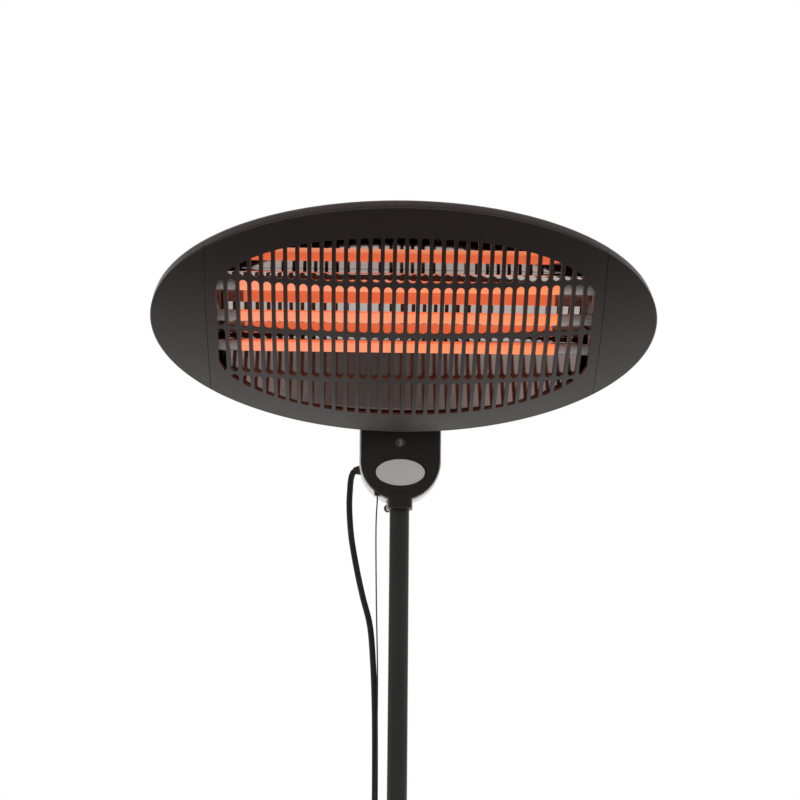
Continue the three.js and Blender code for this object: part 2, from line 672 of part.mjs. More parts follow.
function pullHandle() {
  const { radius, length } = HANDLE;
  const top = stringBottom - CLEAR;
  return turned([[0, top - length], [radius - 1.5, top - length], [radius, top - length + 2],
    [radius * 0.93, top - length * 0.6], [radius * 0.5, top - length * 0.25],
    [radius * 0.32, top - 1], [radius * 0.25, top], [0, top]], 14)
    .translate(STRING.x, STRING.y, 0);
}
const stringTop = PLUNGER.bottom - CLEAR;
const stringBottom = stringTop - STRING.length;

const pullString = () => tubeAlong(smoothCurve([
  [STRING.x, STRING.y, stringTop], [STRING.x, STRING.y, guideBottom - 4],
  [STRING.x - 1, STRING.y, guideBottom - 30], [STRING.x - 0.8, STRING.y, guideBottom - 110],
  [STRING.x, STRING.y, guideBottom - 200], [STRING.x, STRING.y, stringBottom + 60],
  [STRING.x, STRING.y, stringBottom],
]), STRING.diameter, 8, 12);

add(mastGroup, "hub_front_cover", hubFrontCover(), "blackPlastic");
add(mastGroup, "hub_rear_shell", hubRearShell(), "greyShell");
add(mastGroup, "badge_plate", badgePlate(), "satinMetal");
add(mastGroup, "level_window", levelWindow(), "clear");
add(mastGroup, "level_dial", levelDial(), "nylon");
add(mastGroup, "pull_switch", pullSwitch(), "blackPlastic");
add(mastGroup, "terminal_block", terminalBlock(), "nylon");
add(mastGroup, "tip_over_switch", tipOverSwitch(), "steel");
add(mastGroup, "neck_collar", neckCollar(), "blackPlastic");
add(mastGroup, "neck_lock_knob", lockKnob(), "blackPlastic");
add(mastGroup, "pivot_block", pivotBlock(), "steel");
add(mastGroup, "stop_pin", stopPin(), "steel");
screwSpots.forEach((spot, i) =>
  add(mastGroup, `hub_screw_${i + 1}`, hubScrew(spot), "steel"));
add(mastGroup, "cable_gland", cableGland(), "rubber");
add(mastGroup, "string_guide", stringGuide(), "nylon");
add(mastGroup, "pull_plunger",
  rod(PLUNGER.radius, PLUNGER.bottom, plungerTop, 12).translate(STRING.x, STRING.y, 0), "nylon");
add(mastGroup, "pull_string", pullString(), "cable");
add(mastGroup, "pull_handle", pullHandle(), "blackPlastic");

// ---------------------------------------------------------------- heater head

// Inside this group +X runs along the head, +Y up its face and +Z out of its face.
const headGroup = new THREE.Group();
headGroup.position.set(HEAD.x, HEAD.y, HEAD.z);
headGroup.rotation.x = THREE.MathUtils.degToRad(90 + HEAD.tilt);
heater.add(headGroup);

const tilt = THREE.MathUtils.degToRad(HEAD.tilt);
// A place in the YZ plane of the heater, seen from inside the head group.
const inHead = (y, z) => [
  -Math.sin(tilt) * (y - HEAD.y) + Math.cos(tilt) * (z - HEAD.z),
  -Math.cos(tilt) * (y - HEAD.y) - Math.sin(tilt) * (z - HEAD.z),
];

const dome = (x, y) => DOME * (1 - (x / RIM.a) ** 2 - (y / RIM.b) ** 2);
const halfHeight = (x, inset = 0) =>
  (RIM.b - inset) * Math.sqrt(Math.max(0, 1 - (x / (RIM.a - inset)) ** 2));

// One section of the pressed front: the domed face with its rounded edge and its lip.
function frontSection(x, innerX, levels) {
  const { lip, round, wall } = RIM;
  const out = halfHeight(x);
  const inn = halfHeight(innerX, wall);
  const edge = [1, 0.985];
  const lines = levels(out);
  const outside = [
    [out, -lip], [out * edge[0], -round], [out * edge[1], dome(x, out * edge[1])],
    ...lines.map((y) => [y, dome(x, y)]),
    [-out * edge[1], dome(x, out * edge[1])], [-out * edge[0], -round], [-out, -lip],
  ];
  const innLines = levels(out).map((y) => y * (out > 0 ? Math.min(1, inn / out) : 0));
  const inside = [
    [-inn, -lip], [-inn * edge[0], -round - wall],
    [-inn * edge[1], dome(innerX, inn * edge[1]) - wall],
    ...innLines.reverse().map((y) => [y, dome(innerX, y) - wall]),
    [inn * edge[1], dome(innerX, inn * edge[1]) - wall], [inn * edge[0], -round - wall],
    [inn, -lip],
  ];
  return [
    ...outside.map(([y, z]) => new THREE.Vector3(x, y, z)),
    ...inside.map(([y, z]) => new THREE.Vector3(innerX, y, z)),
  ];
}

// Half height of the slotted field at a distance along the head.
function fieldLimit(x) {
  const share = Math.min(1, Math.abs(x) / GRILLE.a);
  return GRILLE.b * (1 - share ** GRILLE.power) ** (1 / GRILLE.power);
}

// A slot runs from low to high in its column, with round ends, and is cut to the field's edge.
function slotOutline(x, low, high) {
  const half = GRILLE.slot / 2;
  const edges = [x - half, x + half];
  const limits = edges.map(fieldLimit);
  const upper = limits.every((limit) => limit >= high)
    ? arc(half, 0, 180, 3, x, high - half)
    : [[edges[1], Math.min(high, limits[1])], [edges[0], Math.min(high, limits[0])]];
  const lower = limits.every((limit) => -limit <= low)
    ? arc(half, 180, 360, 3, x, low + half)
    : [[edges[0], Math.max(low, -limits[0])], [edges[1], Math.max(low, -limits[1])]];
  const short = upper[upper.length - 1][1] - lower[0][1] < SHORTEST_SLOT
    || upper[0][1] - lower[lower.length - 1][1] < SHORTEST_SLOT;
  return short ? null : [...upper, ...lower];
}

function slotTools() {
  const { pitch, rowHeight, bar, a, b } = GRILLE;
  const columns = Math.floor(a / pitch);
  const tools = [];
  for (let column = -columns; column < columns; column++) {
    const x = (column + 0.5) * pitch;
    for (let row = -2; row < 2; row++) {
      const low = Math.max(row * rowHeight + bar / 2, -b);
      const high = Math.min((row + 1) * rowHeight - bar / 2, b);
      const outline = slotOutline(x, low, high);
      if (outline) tools.push(slab(outline, -DOME, 2 * DOME).toNonIndexed());
    }
  }
  return mergeGeometries(tools);
}

function frontGrille() {
  const { pitch, rowHeight } = GRILLE;
  const end = SEAM_X - SEAM_GAP / 2;
  // Sections lie on bars, closer together where the rim turns in.
  const steps = 7;
  const stations = [-end];
  for (let i = 1 - steps; i < steps; i++) {
    const bar = Math.round((end / pitch) * Math.sin((Math.PI / 2) * (i / steps)));
    stations.push(bar * pitch);
  }
  stations.push(end);
  const levels = (out) => {
    const bar = Math.min(rowHeight, out * 0.8);
    return [bar, 0, -bar];
  };
  const shell = loft(stations.map((x) => frontSection(x, x, levels)), dropX);
  return cut(shell, slotTools());
}

function endCap(side) {
  const start = SEAM_X + SEAM_GAP / 2;
  const first = Math.acos(start / RIM.a);
  const steps = 7;
  const levels = (out) => [0.7, 0.25, -0.25, -0.7].map((share) => share * out);
  const sections = [];
  for (let i = 0; i <= steps; i++) {
    const share = i / steps;
    const x = RIM.a * Math.cos(first * (1 - share));
    sections.push(frontSection(side * x, side * (x - RIM.wall * share), levels));
  }
  return loft(sections, dropX, [true, false]);
}

const ellipse = (a, b, z, sides = 36) =>
  circle(1, sides).map(([x, y]) => new THREE.Vector3(x * a, y * b, z));

function rearHousing() {
  const { depth, inset, wall, flange, backA, backB } = HOUSING;
  const { a, b, lip } = RIM;
  const step = lip + CLEAR;
  const tongue = RIM.wall + 2 * SLIP;
  const pan = loft([
    ellipse(a * backA, b * backB, -depth),
    ellipse(a * 0.85, b * 0.76, -depth * 0.93),
    ellipse(a * 0.95, b * 0.91, -depth * 0.68),
    ellipse(a - inset, b - inset, -step - 8),
    ellipse(a - inset, b - inset, -step),
    ellipse(a - tongue, b - tongue, -step),
    ellipse(a - tongue, b - tongue, -flange),
    ellipse(a - tongue - wall, b - tongue - wall, -flange),
    ellipse(a - inset - wall - 1, b - inset - wall - 1, -step - 8),
    ellipse(a * 0.95 - wall, b * 0.91 - wall, -depth * 0.68 + wall * 0.6),
    ellipse(a * 0.85 - wall, b * 0.76 - wall, -depth * 0.93 + wall),
    ellipse(a * backA - wall, b * backB - wall, -depth + wall),
  ], dropZ);
  return cut(pan, ventTools());
}

// Warm air leaves by rows of slots on both sides of the bracket.
function ventTools() {
  const tools = [];
  for (const side of [-1, 1]) {
    for (let row = 0; row < VENT.rows; row++) {
      for (let column = 0; column < VENT.columns / 2; column++) {
        const x = side * (44 + column * VENT.pitch);
        const y = VENT.y - row * VENT.rowPitch;
        const [w, h] = [VENT.width / 2, VENT.height / 2];
        const outline = [[x - w, y - h], [x + w, y - h], [x + w, y + h], [x - w, y + h]];
        tools.push(slab(outline, -HOUSING.depth - 5, -HOUSING.depth + 12).toNonIndexed());
      }
    }
  }
  return mergeGeometries(tools);
}

// The hollow behind the front, a little smaller than the inside of its skin.
function headSpace(inset) {
  const stations = [];
  const steps = 12;
  for (let i = 0; i <= steps; i++) {
    stations.push(-(RIM.a - 20) * Math.cos((Math.PI * i) / steps));
  }
  const rings = stations.map((x) => {
    const out = halfHeight(x, inset);
    const face = [1, 0.75, 0.5, 0.25, 0, -0.25, -0.5, -0.75, -1].map((share) => share * out);
    return [
      ...face.map((y) => new THREE.Vector3(x, y, Math.max(dome(x, y) - inset, -HOUSING.depth / 2))),
      new THREE.Vector3(x, -out, -HOUSING.depth), new THREE.Vector3(x, out, -HOUSING.depth),
    ];
  });
  return loft(rings, dropX);
}

function reflector() {
  const { half, flat, floor, wing, lip, sheet } = REFLECTOR;
  const slope = sheet * Math.SQRT2;
  const profile = [
    [-wing, lip], [-wing + slope, lip], [-flat + slope / 2, floor + sheet],
    [flat - slope / 2, floor + sheet], [wing - slope, lip], [wing, lip],
    [flat, floor], [-flat, floor],
  ];
  return common(slabAlongX(profile, -half, half), headSpace(RIM.wall + 2.5));
}

const tubeRows = [-1, 0, 1].map((row) => row * TUBE.pitch);

// A ceramic bar at each end seats the three tubes in its sockets.
function tubeHolder(side) {
  const { start, length, width, bore, height } = HOLDER;
  const at = TUBE.depth;
  const outline = [
    ...arc(4, 0, 90, 2, height / 2 - 4, at + width / 2 - 4),
    ...arc(4, 90, 180, 2, -height / 2 + 4, at + width / 2 - 4),
    ...arc(4, 180, 270, 2, -height / 2 + 4, at - width / 2 + 4),
    ...arc(4, 270, 360, 2, height / 2 - 4, at - width / 2 + 4),
  ];
  const bar = slabAlongX(outline, start, start + length);
  const sockets = tubeRows.map((y) =>
    alongX(rod(TUBE.radius + CLEAR, start - 1, start + bore, 12)).translate(0, y, at));
  const whole = cut(bar, ...sockets);
  return side > 0 ? whole : mirrored(whole);
}

// A sheet steel plate behind each ceramic bar, with a strap to the back of the housing.
function tubeBracket(side) {
  const { half, front, back, sheet, foot, footLength } = TUBE_BRACKET;
  const from = HOLDER.start + HOLDER.length + CLEAR;
  const to = from + sheet;
  const plate = slabAlongX([
    [-half + 10, back], [half - 10, back], [half, front - 6], [half - 6, front],
    [-half + 6, front], [-half, front - 6],
  ], from, to);
  const shelfTop = TUBE.depth - HOLDER.width / 2 - CLEAR;
  const shelf = block([HOLDER.start + 2, -half + 8, shelfTop - sheet], [to, half - 8, shelfTop]);
  const seat = -HOUSING.depth + HOUSING.wall + CLEAR;
  const strap = slabAlongX([
    [-20, back], [20, back], [20, back + 3], [-20, back + 3],
  ], from, to);
  const slope = loft([-20, 20].map((y) => [
    [foot, seat], [foot + footLength, seat], [to, back], [to, back + 3], [from, back + 3],
    [foot + footLength, seat + sheet], [foot, seat + sheet],
  ].map(([x, z]) => new THREE.Vector3(x, y, z))), dropY);
  const under = REFLECTOR.floor - CLEAR;
  const ledge = block([REFLECTOR.half - 10, -REFLECTOR.flat + 8, under - sheet],
    [to, REFLECTOR.flat - 8, under]);
  const whole = join(plate, shelf, ledge, strap, slope);
  return side > 0 ? whole : mirrored(whole);
}

const pivotInHead = inHead(PIVOT.y, PIVOT.z);
const plateSeat = -HOUSING.depth - CLEAR;

// The bracket is a U of thick sheet: a plate on the housing and two ears round the pivot block.
function tiltBracket() {
  const [py, pz] = pivotInHead;
  const { radius, sheet, plateWidth, plateFrom, plateTo } = EAR;
  const earOutline = [
    [plateFrom, plateSeat], [plateFrom, plateSeat - sheet],
    ...arc(radius, 125, 305, 9, py, pz), [plateTo - 25, plateSeat - sheet],
    [plateTo - 25, plateSeat],
  ];
  const ears = [-1, 1].map((side) => {
    const from = side > 0 ? earInner : -earInner - sheet;
    return slabAlongX(earOutline, from, from + sheet);
  });
  const plate = slab([
    [-plateWidth / 2, plateFrom], [plateWidth / 2, plateFrom], [plateWidth / 2, plateTo - 6],
    [plateWidth / 2 - 6, plateTo], [-plateWidth / 2 + 6, plateTo], [-plateWidth / 2, plateTo - 6],
  ], plateSeat - sheet, plateSeat);
  const reach = earInner + sheet + 1;
  const bore = alongX(rod(PIVOT.bolt + CLEAR, -reach, reach, 12)).translate(0, py, pz);
  return cut(join(plate, ...ears), bore, stopSlot(reach));
}

// The slot in the ears runs round the pivot, and its ends stop the pin in the block.
function stopSlot(reach) {
  const [py, pz] = pivotInHead;
  const [sy, sz] = inHead(PIVOT.y, PIVOT.z - STOP.circle);
  const start = THREE.MathUtils.radToDeg(Math.atan2(sz - pz, sy - py));
  const half = STOP.radius + CLEAR + 0.1;
  const from = start - STOP.spare;
  const to = start + STOP.sweep + STOP.spare;
  const centreAt = (angle) => arc(STOP.circle, angle, angle, 1, py, pz)[0];
  const [ey, ez] = centreAt(to);
  const [by, bz] = centreAt(from);
  const outline = [
    ...arc(STOP.circle + half, from, to, 6, py, pz),
    ...arc(half, to + 30, to + 150, 3, ey, ez),
    ...arc(STOP.circle - half, to, from, 6, py, pz),
    ...arc(half, from + 210, from + 330, 3, by, bz),
  ];
  return slabAlongX(outline, -reach, reach);
}

function tiltWasher(side) {
  const [py, pz] = pivotInHead;
  const from = side * (PIVOT.block + CLEAR + WASHER.thickness / 2) - WASHER.thickness / 2;
  return alongX(pipe(PIVOT.bolt + CLEAR, WASHER.radius, from, from + WASHER.thickness, 14))
    .translate(0, py, pz);
}

const knobSeat = earInner + EAR.sheet + SLIP;

function tiltBolt() {
  const [py, pz] = pivotInHead;
  const seat = -(earInner + EAR.sheet + CLEAR);
  const head = rod(7.5, seat - 5.3, seat, 6);
  return alongX(join(head, rod(PIVOT.bolt, seat - 1, knobSeat + TILT_KNOB.depth - 1, 20)))
    .translate(0, py, pz);
}

function tiltKnob() {
  const [py, pz] = pivotInHead;
  const grip = lobedKnob(TILT_KNOB.radius, TILT_KNOB.length).translate(0, 0, knobSeat);
  const bore = rod(PIVOT.bolt + CLEAR, knobSeat - 1, knobSeat + TILT_KNOB.depth, 20);
  return alongX(cut(grip, bore)).translate(0, py, pz);
}

add(headGroup, "front_grille", frontGrille(), "blackPaint");
add(headGroup, "end_cap_left", endCap(-1), "blackPaint");
add(headGroup, "end_cap_right", endCap(1), "blackPaint");
add(headGroup, "rear_housing", rearHousing(), "blackPaint");
add(headGroup, "reflector", reflector(), "mirror");
tubeRows.forEach((y, i) => {
  const quartz = alongX(rod(TUBE.radius, -TUBE.half, TUBE.half, 20)).translate(0, y, TUBE.depth);
  add(headGroup, `quartz_tube_${i + 1}`, quartz, "quartz");
});
for (const [side, word] of [[-1, "left"], [1, "right"]]) {
  add(headGroup, `tube_holder_${word}`, tubeHolder(side), "ceramic");
  add(headGroup, `tube_bracket_${word}`, tubeBracket(side), "steel");
  add(headGroup, `tilt_washer_${word}`, tiltWasher(side), "nylon");
}
add(headGroup, "tilt_bracket", tiltBracket(), "blackPaint");
add(headGroup, "tilt_bolt", tiltBolt(), "steel");
add(headGroup, "tilt_knob", tiltKnob(), "blackPlastic");

// ---------------------------------------------------------------- mains lead

const cordGap = 0.5;
const eye = [backLeft.x * eyeReach, backLeft.y * eyeReach];
const clipAt = [backLeft.x * clipReach, backLeft.y * clipReach];
const onFloor = CORD / 2 + 0.1;
const onCover = (radius) => coverTop(radius) + CORD / 2 + cordGap;

// From the gland the lead hangs beside the pole and swings in behind it to the eye of the clamp.
const upperLead = [
  leadStart, ...[[-55.9, 0, 16.5], [-53.5, 1, 49.5], [-47.5, 3, 83.5], [-40, 6, 116.5],
    [-31.5, 9, 148.5], [-25.5, 12, 189.5], [-21.5, 15, 239.5], [-19, 17, 299.5],
    [-18.2, 18.5, 359.5]].map(([x, y, fall]) => [x, y, leadStart[2] - fall]),
  [-18.6, 19, eyeTop + 70], [eye[0], eye[1], eyeTop + 22], [eye[0], eye[1], eyeTop],
];

// It runs down the outer tube through its clips, over the base and onto the floor behind it.
const lowerLead = [
  [eye[0], eye[1], eyeTop - CLEAR], [eye[0], eye[1], eyeTop - 36], [eye[0], eye[1], collarBottom + 7],
  [clipAt[0] - 1.6, clipAt[1] + 1.6, collarBottom - 25], [clipAt[0], clipAt[1], 1000],
  [clipAt[0], clipAt[1], 900], [clipAt[0], clipAt[1], 860], [clipAt[0] - 1, clipAt[1] + 1, 700],
  [clipAt[0] - 1, clipAt[1] + 1, 450], [clipAt[0], clipAt[1], 300], [clipAt[0], clipAt[1], 270],
  [clipAt[0], clipAt[1], 240], [-17, 20, 160], [-20, 29, 118], [-25, 44, 84], [-30, 66, 60],
  [-34, 86, 49], [-37, 110, onCover(116) + 0.6], [-40, 140, onCover(146)], [-42, 190, onCover(194)],
  [-42, 222, onCover(226) + 0.6], [-40, 243, 26], [-37, 259, 16], [-32, 277, 7.5],
  [-24, 298, onFloor + 0.4], [-10, 322, onFloor], [12, 340, onFloor],
];

const coilRise = COIL.inward * COIL.spacing;
const coilOuter = COIL.radius + coilRise / 2;
const coilBottom = COIL.lift + CORD / 2;
const coilFar = COIL.y + coilOuter;
lowerLead.push([38, coilFar - 1, onFloor + 0.6], [COIL.x - 20, coilFar, coilBottom],
  [COIL.x - CORD - CLEAR, coilFar, coilBottom]);

const plugZ = PLUG.radius + 0.2;
const plugStart = COIL.x + 62;

// The coil spirals in on the floor, climbs in the half turn where it reverses, and spirals out.
function coilPath() {
  const stepsPerTurn = 24;
  const total = 2 * COIL.inward + 0.5;
  const points = [[COIL.x - CORD, coilFar, coilBottom]];
  const count = Math.round(total * stepsPerTurn);
  for (let i = 0; i <= count; i++) {
    const turns = (total * i) / count;
    const inward = Math.min(turns, COIL.inward);
    const outward = Math.max(0, turns - COIL.inward - 0.5);
    const climb = THREE.MathUtils.clamp((turns - COIL.inward) / 0.5, 0, 1);
    const radius = coilOuter - COIL.spacing * (inward - outward);
    const angle = Math.PI / 2 - 2 * Math.PI * turns;
    points.push([COIL.x + radius * Math.cos(angle), COIL.y + radius * Math.sin(angle),
      coilBottom + COIL.spacing * climb]);
  }
  const topLayer = coilBottom + COIL.spacing;
  points.push([COIL.x + 14, coilFar, topLayer], [COIL.x + 34, coilFar, topLayer + 1.6],
    [plugStart - 10, coilFar, plugZ], [plugStart - CLEAR, coilFar, plugZ]);
  return points;
}

// Least gap of a coil's tube to itself, measured between points more than half a turn apart.
function leastGap(points, diameter) {
  const spaced = smoothCurve(points).getSpacedPoints(900);
  const apart = 60;
  let least = Infinity;
  for (let i = 0; i < spaced.length; i++) {
    for (let j = i + apart; j < spaced.length; j++) {
      least = Math.min(least, spaced[i].distanceTo(spaced[j]));
    }
  }
  return least - diameter;
}

function coilTie() {
  const { width, sheet } = TIE;
  const slack = 1.1;
  const inner = coilOuter - coilRise - CORD / 2 - slack;
  const outer = coilOuter - COIL.spacing / 4 + CORD / 2 + slack;
  const low = COIL.lift - CLEAR;
  const high = COIL.lift + COIL.spacing + CORD + CLEAR;
  const band = (grow) => [
    ...arc(2 + grow, 180, 270, 2, inner + 2, low + 2), ...arc(2 + grow, 270, 360, 2, outer - 2, low + 2),
    ...arc(2 + grow, 0, 90, 2, outer - 2, high - 2), ...arc(2 + grow, 90, 180, 2, inner + 2, high - 2),
  ];
  const strap = slab(band(sheet), -width / 2, width / 2, [band(0)]);
  return strap.rotateX(Math.PI / 2).translate(COIL.x, COIL.y, 0);
}

function mainsPlug() {
  const { radius, sleeve, body, pin, pinLength, pinSpacing } = PLUG;
  const face = sleeve + body;
  const shell = turned([
    [0, 0], [CORD / 2 + 0.8, 0], [CORD / 2 + 2.6, sleeve], [radius * 0.62, sleeve + 6],
    [radius * 0.92, sleeve + 16], [radius, sleeve + 24], [radius, face - 1.5],
    [radius - 1.5, face], [0, face],
  ], 16);
  const pins = [-1, 1].map((side) =>
    turned([[0, face - 2], [pin, face - 2], [pin, face + pinLength - 1.5],
      [pin * 0.5, face + pinLength], [0, face + pinLength]], 12)
      .translate(0, (side * pinSpacing) / 2, 0));
  return alongX(join(shell, ...pins)).translate(plugStart, coilFar, plugZ);
}

const coilPoints = coilPath();
console.log(`least gap of the coil to itself: ${leastGap(coilPoints, CORD).toFixed(2)} mm`);

add(mastGroup, "mains_lead_upper", tubeAlong(smoothCurve(upperLead), CORD, 8, 28), "cable");
add(baseGroup, "mains_lead_lower", tubeAlong(smoothCurve(lowerLead), CORD, 8, 60), "cable");
add(baseGroup, "mains_coil",
  tubeAlong(smoothCurve(coilPoints), CORD, 6, coilPoints.length), "cable");
add(baseGroup, "coil_tie", coilTie(), "blackPlastic");
add(baseGroup, "mains_plug", mainsPlug(), "rubber");

export default heater;
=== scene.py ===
# An infrared patio heater: an oval head with three quartz tubes on a telescopic pole.
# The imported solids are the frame, and each visible piece is dressed over them in metres.

import math

import bmesh
import bpy
from mathutils import Matrix, Vector


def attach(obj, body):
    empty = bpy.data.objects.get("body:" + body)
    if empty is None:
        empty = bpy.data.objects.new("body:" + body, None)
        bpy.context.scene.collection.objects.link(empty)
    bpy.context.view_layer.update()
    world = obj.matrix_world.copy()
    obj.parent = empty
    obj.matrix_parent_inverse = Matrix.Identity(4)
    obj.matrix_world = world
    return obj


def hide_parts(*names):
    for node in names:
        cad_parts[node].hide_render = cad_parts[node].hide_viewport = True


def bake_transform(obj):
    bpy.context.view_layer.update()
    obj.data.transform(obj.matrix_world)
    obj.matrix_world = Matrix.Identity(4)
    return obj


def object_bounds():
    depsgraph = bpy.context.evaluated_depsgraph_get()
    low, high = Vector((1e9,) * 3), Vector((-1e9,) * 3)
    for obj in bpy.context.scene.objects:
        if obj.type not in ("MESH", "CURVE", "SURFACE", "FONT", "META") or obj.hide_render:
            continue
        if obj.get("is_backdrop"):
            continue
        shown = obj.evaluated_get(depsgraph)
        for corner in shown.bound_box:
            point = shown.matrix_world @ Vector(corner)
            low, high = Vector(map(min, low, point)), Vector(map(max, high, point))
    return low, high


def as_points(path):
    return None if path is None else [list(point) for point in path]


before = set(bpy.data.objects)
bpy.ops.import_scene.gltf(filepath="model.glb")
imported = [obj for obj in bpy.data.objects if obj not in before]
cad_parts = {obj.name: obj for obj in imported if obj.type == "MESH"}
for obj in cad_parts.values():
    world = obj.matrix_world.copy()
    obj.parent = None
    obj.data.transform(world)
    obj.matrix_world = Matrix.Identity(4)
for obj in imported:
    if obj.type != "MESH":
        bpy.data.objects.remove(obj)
solid_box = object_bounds()

MM = 0.001
MILLIMETRES = Matrix.Scale(MM, 4)

# ------------------------------------------------------------------ camera
# The photograph is taken from a little below the head, looking up at it, and cuts the pole
# off under the hub. The image is 800 pixels square.

HEAD_CENTRE = Vector((0.0, -0.140, 1.800))
LOOK_UP = math.radians(10.0)
LOOK_ASIDE = math.radians(-1.5)
LEAN = math.radians(0.5)
DISTANCE = 1.5604
FOCAL_PIXELS, IMAGE_PIXELS = 1493.8, 800
SENSOR = 36.0
AIM_RIGHT, AIM_UP = -0.00477, -0.08079


def in_scene(name, data):
    """An object that holds the data, linked into the scene."""
    made = bpy.data.objects.new(name, data)
    bpy.context.scene.collection.objects.link(made)
    return made


ahead = Vector((
    -math.sin(LOOK_ASIDE) * math.cos(LOOK_UP),
    math.cos(LOOK_ASIDE) * math.cos(LOOK_UP),
    math.sin(LOOK_UP),
))
level = Vector((math.cos(LOOK_ASIDE), math.sin(LOOK_ASIDE), 0.0))
upright = level.cross(ahead)
right = level * math.cos(LEAN) + upright * math.sin(LEAN)
up = upright * math.cos(LEAN) - level * math.sin(LEAN)

camera_data = bpy.data.cameras.new("camera")
camera_data.sensor_width = SENSOR
camera_data.lens = FOCAL_PIXELS / IMAGE_PIXELS * SENSOR
camera_data.clip_start = 0.05
camera_data.clip_end = 60
camera = in_scene("camera", camera_data)
camera.matrix_world = Matrix.Translation(
    HEAD_CENTRE - ahead * DISTANCE + right * AIM_RIGHT + up * AIM_UP
) @ Matrix((right, up, -ahead)).transposed().to_4x4()
bpy.context.scene.camera = camera
bpy.context.scene.view_settings.view_transform = "Standard"


# ------------------------------------------------------------------ studio
# A pale floor, a white surround and soft lamps overhead and at the sides. The floor in front
# of the heater is darker in reflections, as a studio floor is away from its lamps, and the
# floor fades into the white backdrop where the camera sees it far from the heater.


class Wire:
    """A socket in a finish, on which maths is written as on a number."""

    def __init__(self, finish, socket):
        self.finish = finish
        self.socket = socket

    def maths(self, operation, first, second=None):
        inputs = {0: first} if second is None else {0: first, 1: second}
        return self.finish.node("ShaderNodeMath", {"operation": operation}, inputs)

    def __add__(self, other):
        return self.maths("ADD", self, other)

    __radd__ = __add__

    def __sub__(self, other):
        return self.maths("SUBTRACT", self, other)

    def __rsub__(self, other):
        return self.maths("SUBTRACT", other, self)

    def __mul__(self, other):
        return self.maths("MULTIPLY", self, other)

    __rmul__ = __mul__

    def __truediv__(self, other):
        return self.maths("DIVIDE", self, other)

    def __abs__(self):
        return self.maths("ABSOLUTE", self)

    def highest(self, other):
        return self.maths("MAXIMUM", self, other)


class Finish:
    """A node tree, with one method that makes a node and returns one of its outputs."""

    def __init__(self, owner):
        owner.use_nodes = True
        self.owner = owner
        self.tree = owner.node_tree
        self.tree.nodes.clear()

    def node(self, kind, settings=None, inputs=None, output=0):
        made = self.tree.nodes.new(kind)
        for name, value in (settings or {}).items():
            if name == "stops":
                ramp = made.color_ramp
                while len(ramp.elements) < len(value):
                    ramp.elements.new(0.5)
                for element, (place, colour) in zip(ramp.elements, value):
                    element.position = place
                    element.color = (*colour, 1.0) if len(colour) == 3 else colour
            else:
                setattr(made, name, value)
        for key, value in (inputs or {}).items():
            self.join(value, made.inputs[key])
        return Wire(self, made.outputs[output]) if made.outputs else None

    def join(self, value, socket):
        if isinstance(value, Wire):
            self.tree.links.new(value.socket, socket)
        elif isinstance(value, tuple) and socket.type == "RGBA" and len(value) == 3:
            socket.default_value = (*value, 1.0)
        else:
            socket.default_value = value

    def place(self, axis=None, **mapping):
        """Object coordinates, moved, turned or scaled, or one axis of them."""
        where = self.node("ShaderNodeTexCoord", output="Object")
        if mapping:
            inputs = {key.capitalize(): value for key, value in mapping.items()}
            where = self.node("ShaderNodeMapping", None, {"Vector": where, **inputs})
        if axis is None:
            return where
        return self.node("ShaderNodeSeparateXYZ", None, {0: where}, axis)

    def noise(self, scale, detail=3.0, where=None):
        return self.node("ShaderNodeTexNoise", None, {
            "Vector": where or self.place(), "Scale": scale, "Detail": detail})

    def height_along(self, direction):
        """How far a point of the piece lies along a direction."""
        return self.node("ShaderNodeVectorMath", {"operation": "DOT_PRODUCT"}, {
            0: self.place(), 1: direction}, 1)

    def ramp(self, value, *stops):
        return self.node("ShaderNodeValToRGB", {"stops": stops}, {"Fac": value})

    def spread(self, value, low, high, start=0.0, end=1.0):
        """A value taken from one range to another and held at its ends."""
        return self.node("ShaderNodeMapRange", None, {
            0: value, 1: start, 2: end, 3: low, 4: high})

    def mix(self, share, first, second):
        return self.node("ShaderNodeMix", {"data_type": "RGBA"}, {0: share, 6: first, 7: second}, 2)

    def bump(self, height, distance, strength=1.0):
        return self.node("ShaderNodeBump", None, {
            "Height": height, "Distance": distance, "Strength": strength})

    def onlookers(self):
        """Whether the camera sees a place, and whether it is seen in gloss or through glass."""
        rays = self.node("ShaderNodeLightPath").socket.node.outputs
        seen, glossy, through = (
            Wire(self, rays[f"Is {kind} Ray"]) for kind in ("Camera", "Glossy", "Transmission"))
        return seen, glossy.highest(through)


world = bpy.data.worlds.new("surround")
bpy.context.scene.world = world
surround = Finish(world)
WHITE = (1.0, 1.0, 1.0)
seen, mirrored = surround.onlookers()
direction = surround.node("ShaderNodeTexCoord", output="Generated")
toward_back = surround.node("ShaderNodeSeparateXYZ", None, {0: direction}, 1)
toward_top = surround.node("ShaderNodeSeparateXYZ", None, {0: direction}, 2)
horizon = surround.ramp(
    surround.spread(toward_back, 0.0, 1.0, -1.0, 1.0),
    (0.02, (0.13, 0.10, 0.095)), (0.30, (0.22, 0.20, 0.195)), (0.55, (0.42, 0.40, 0.39)),
    (0.90, (0.42, 0.40, 0.39)), (0.97, WHITE))
room = surround.mix(surround.spread(toward_top, 0.0, 1.0, 0.30, 0.75), horizon,
                    (0.15, 0.13, 0.125))
high_band = (surround.spread(toward_top, 0.0, 1.0, 0.45, 0.55)
             * surround.spread(toward_top, 1.0, 0.0, 0.75, 0.85)
             * surround.spread(toward_back, 1.0, 0.0, -0.4, -0.1))
room = surround.mix(high_band, room, (0.95, 0.93, 0.92))
tint = surround.mix(mirrored, WHITE, room)
strength = seen + (1 - seen) * (mirrored + (1 - mirrored) * 0.5)
shine = surround.node("ShaderNodeBackground", None, {"Color": tint, "Strength": strength})
surround.node("ShaderNodeOutputWorld", None, {"Surface": shine})

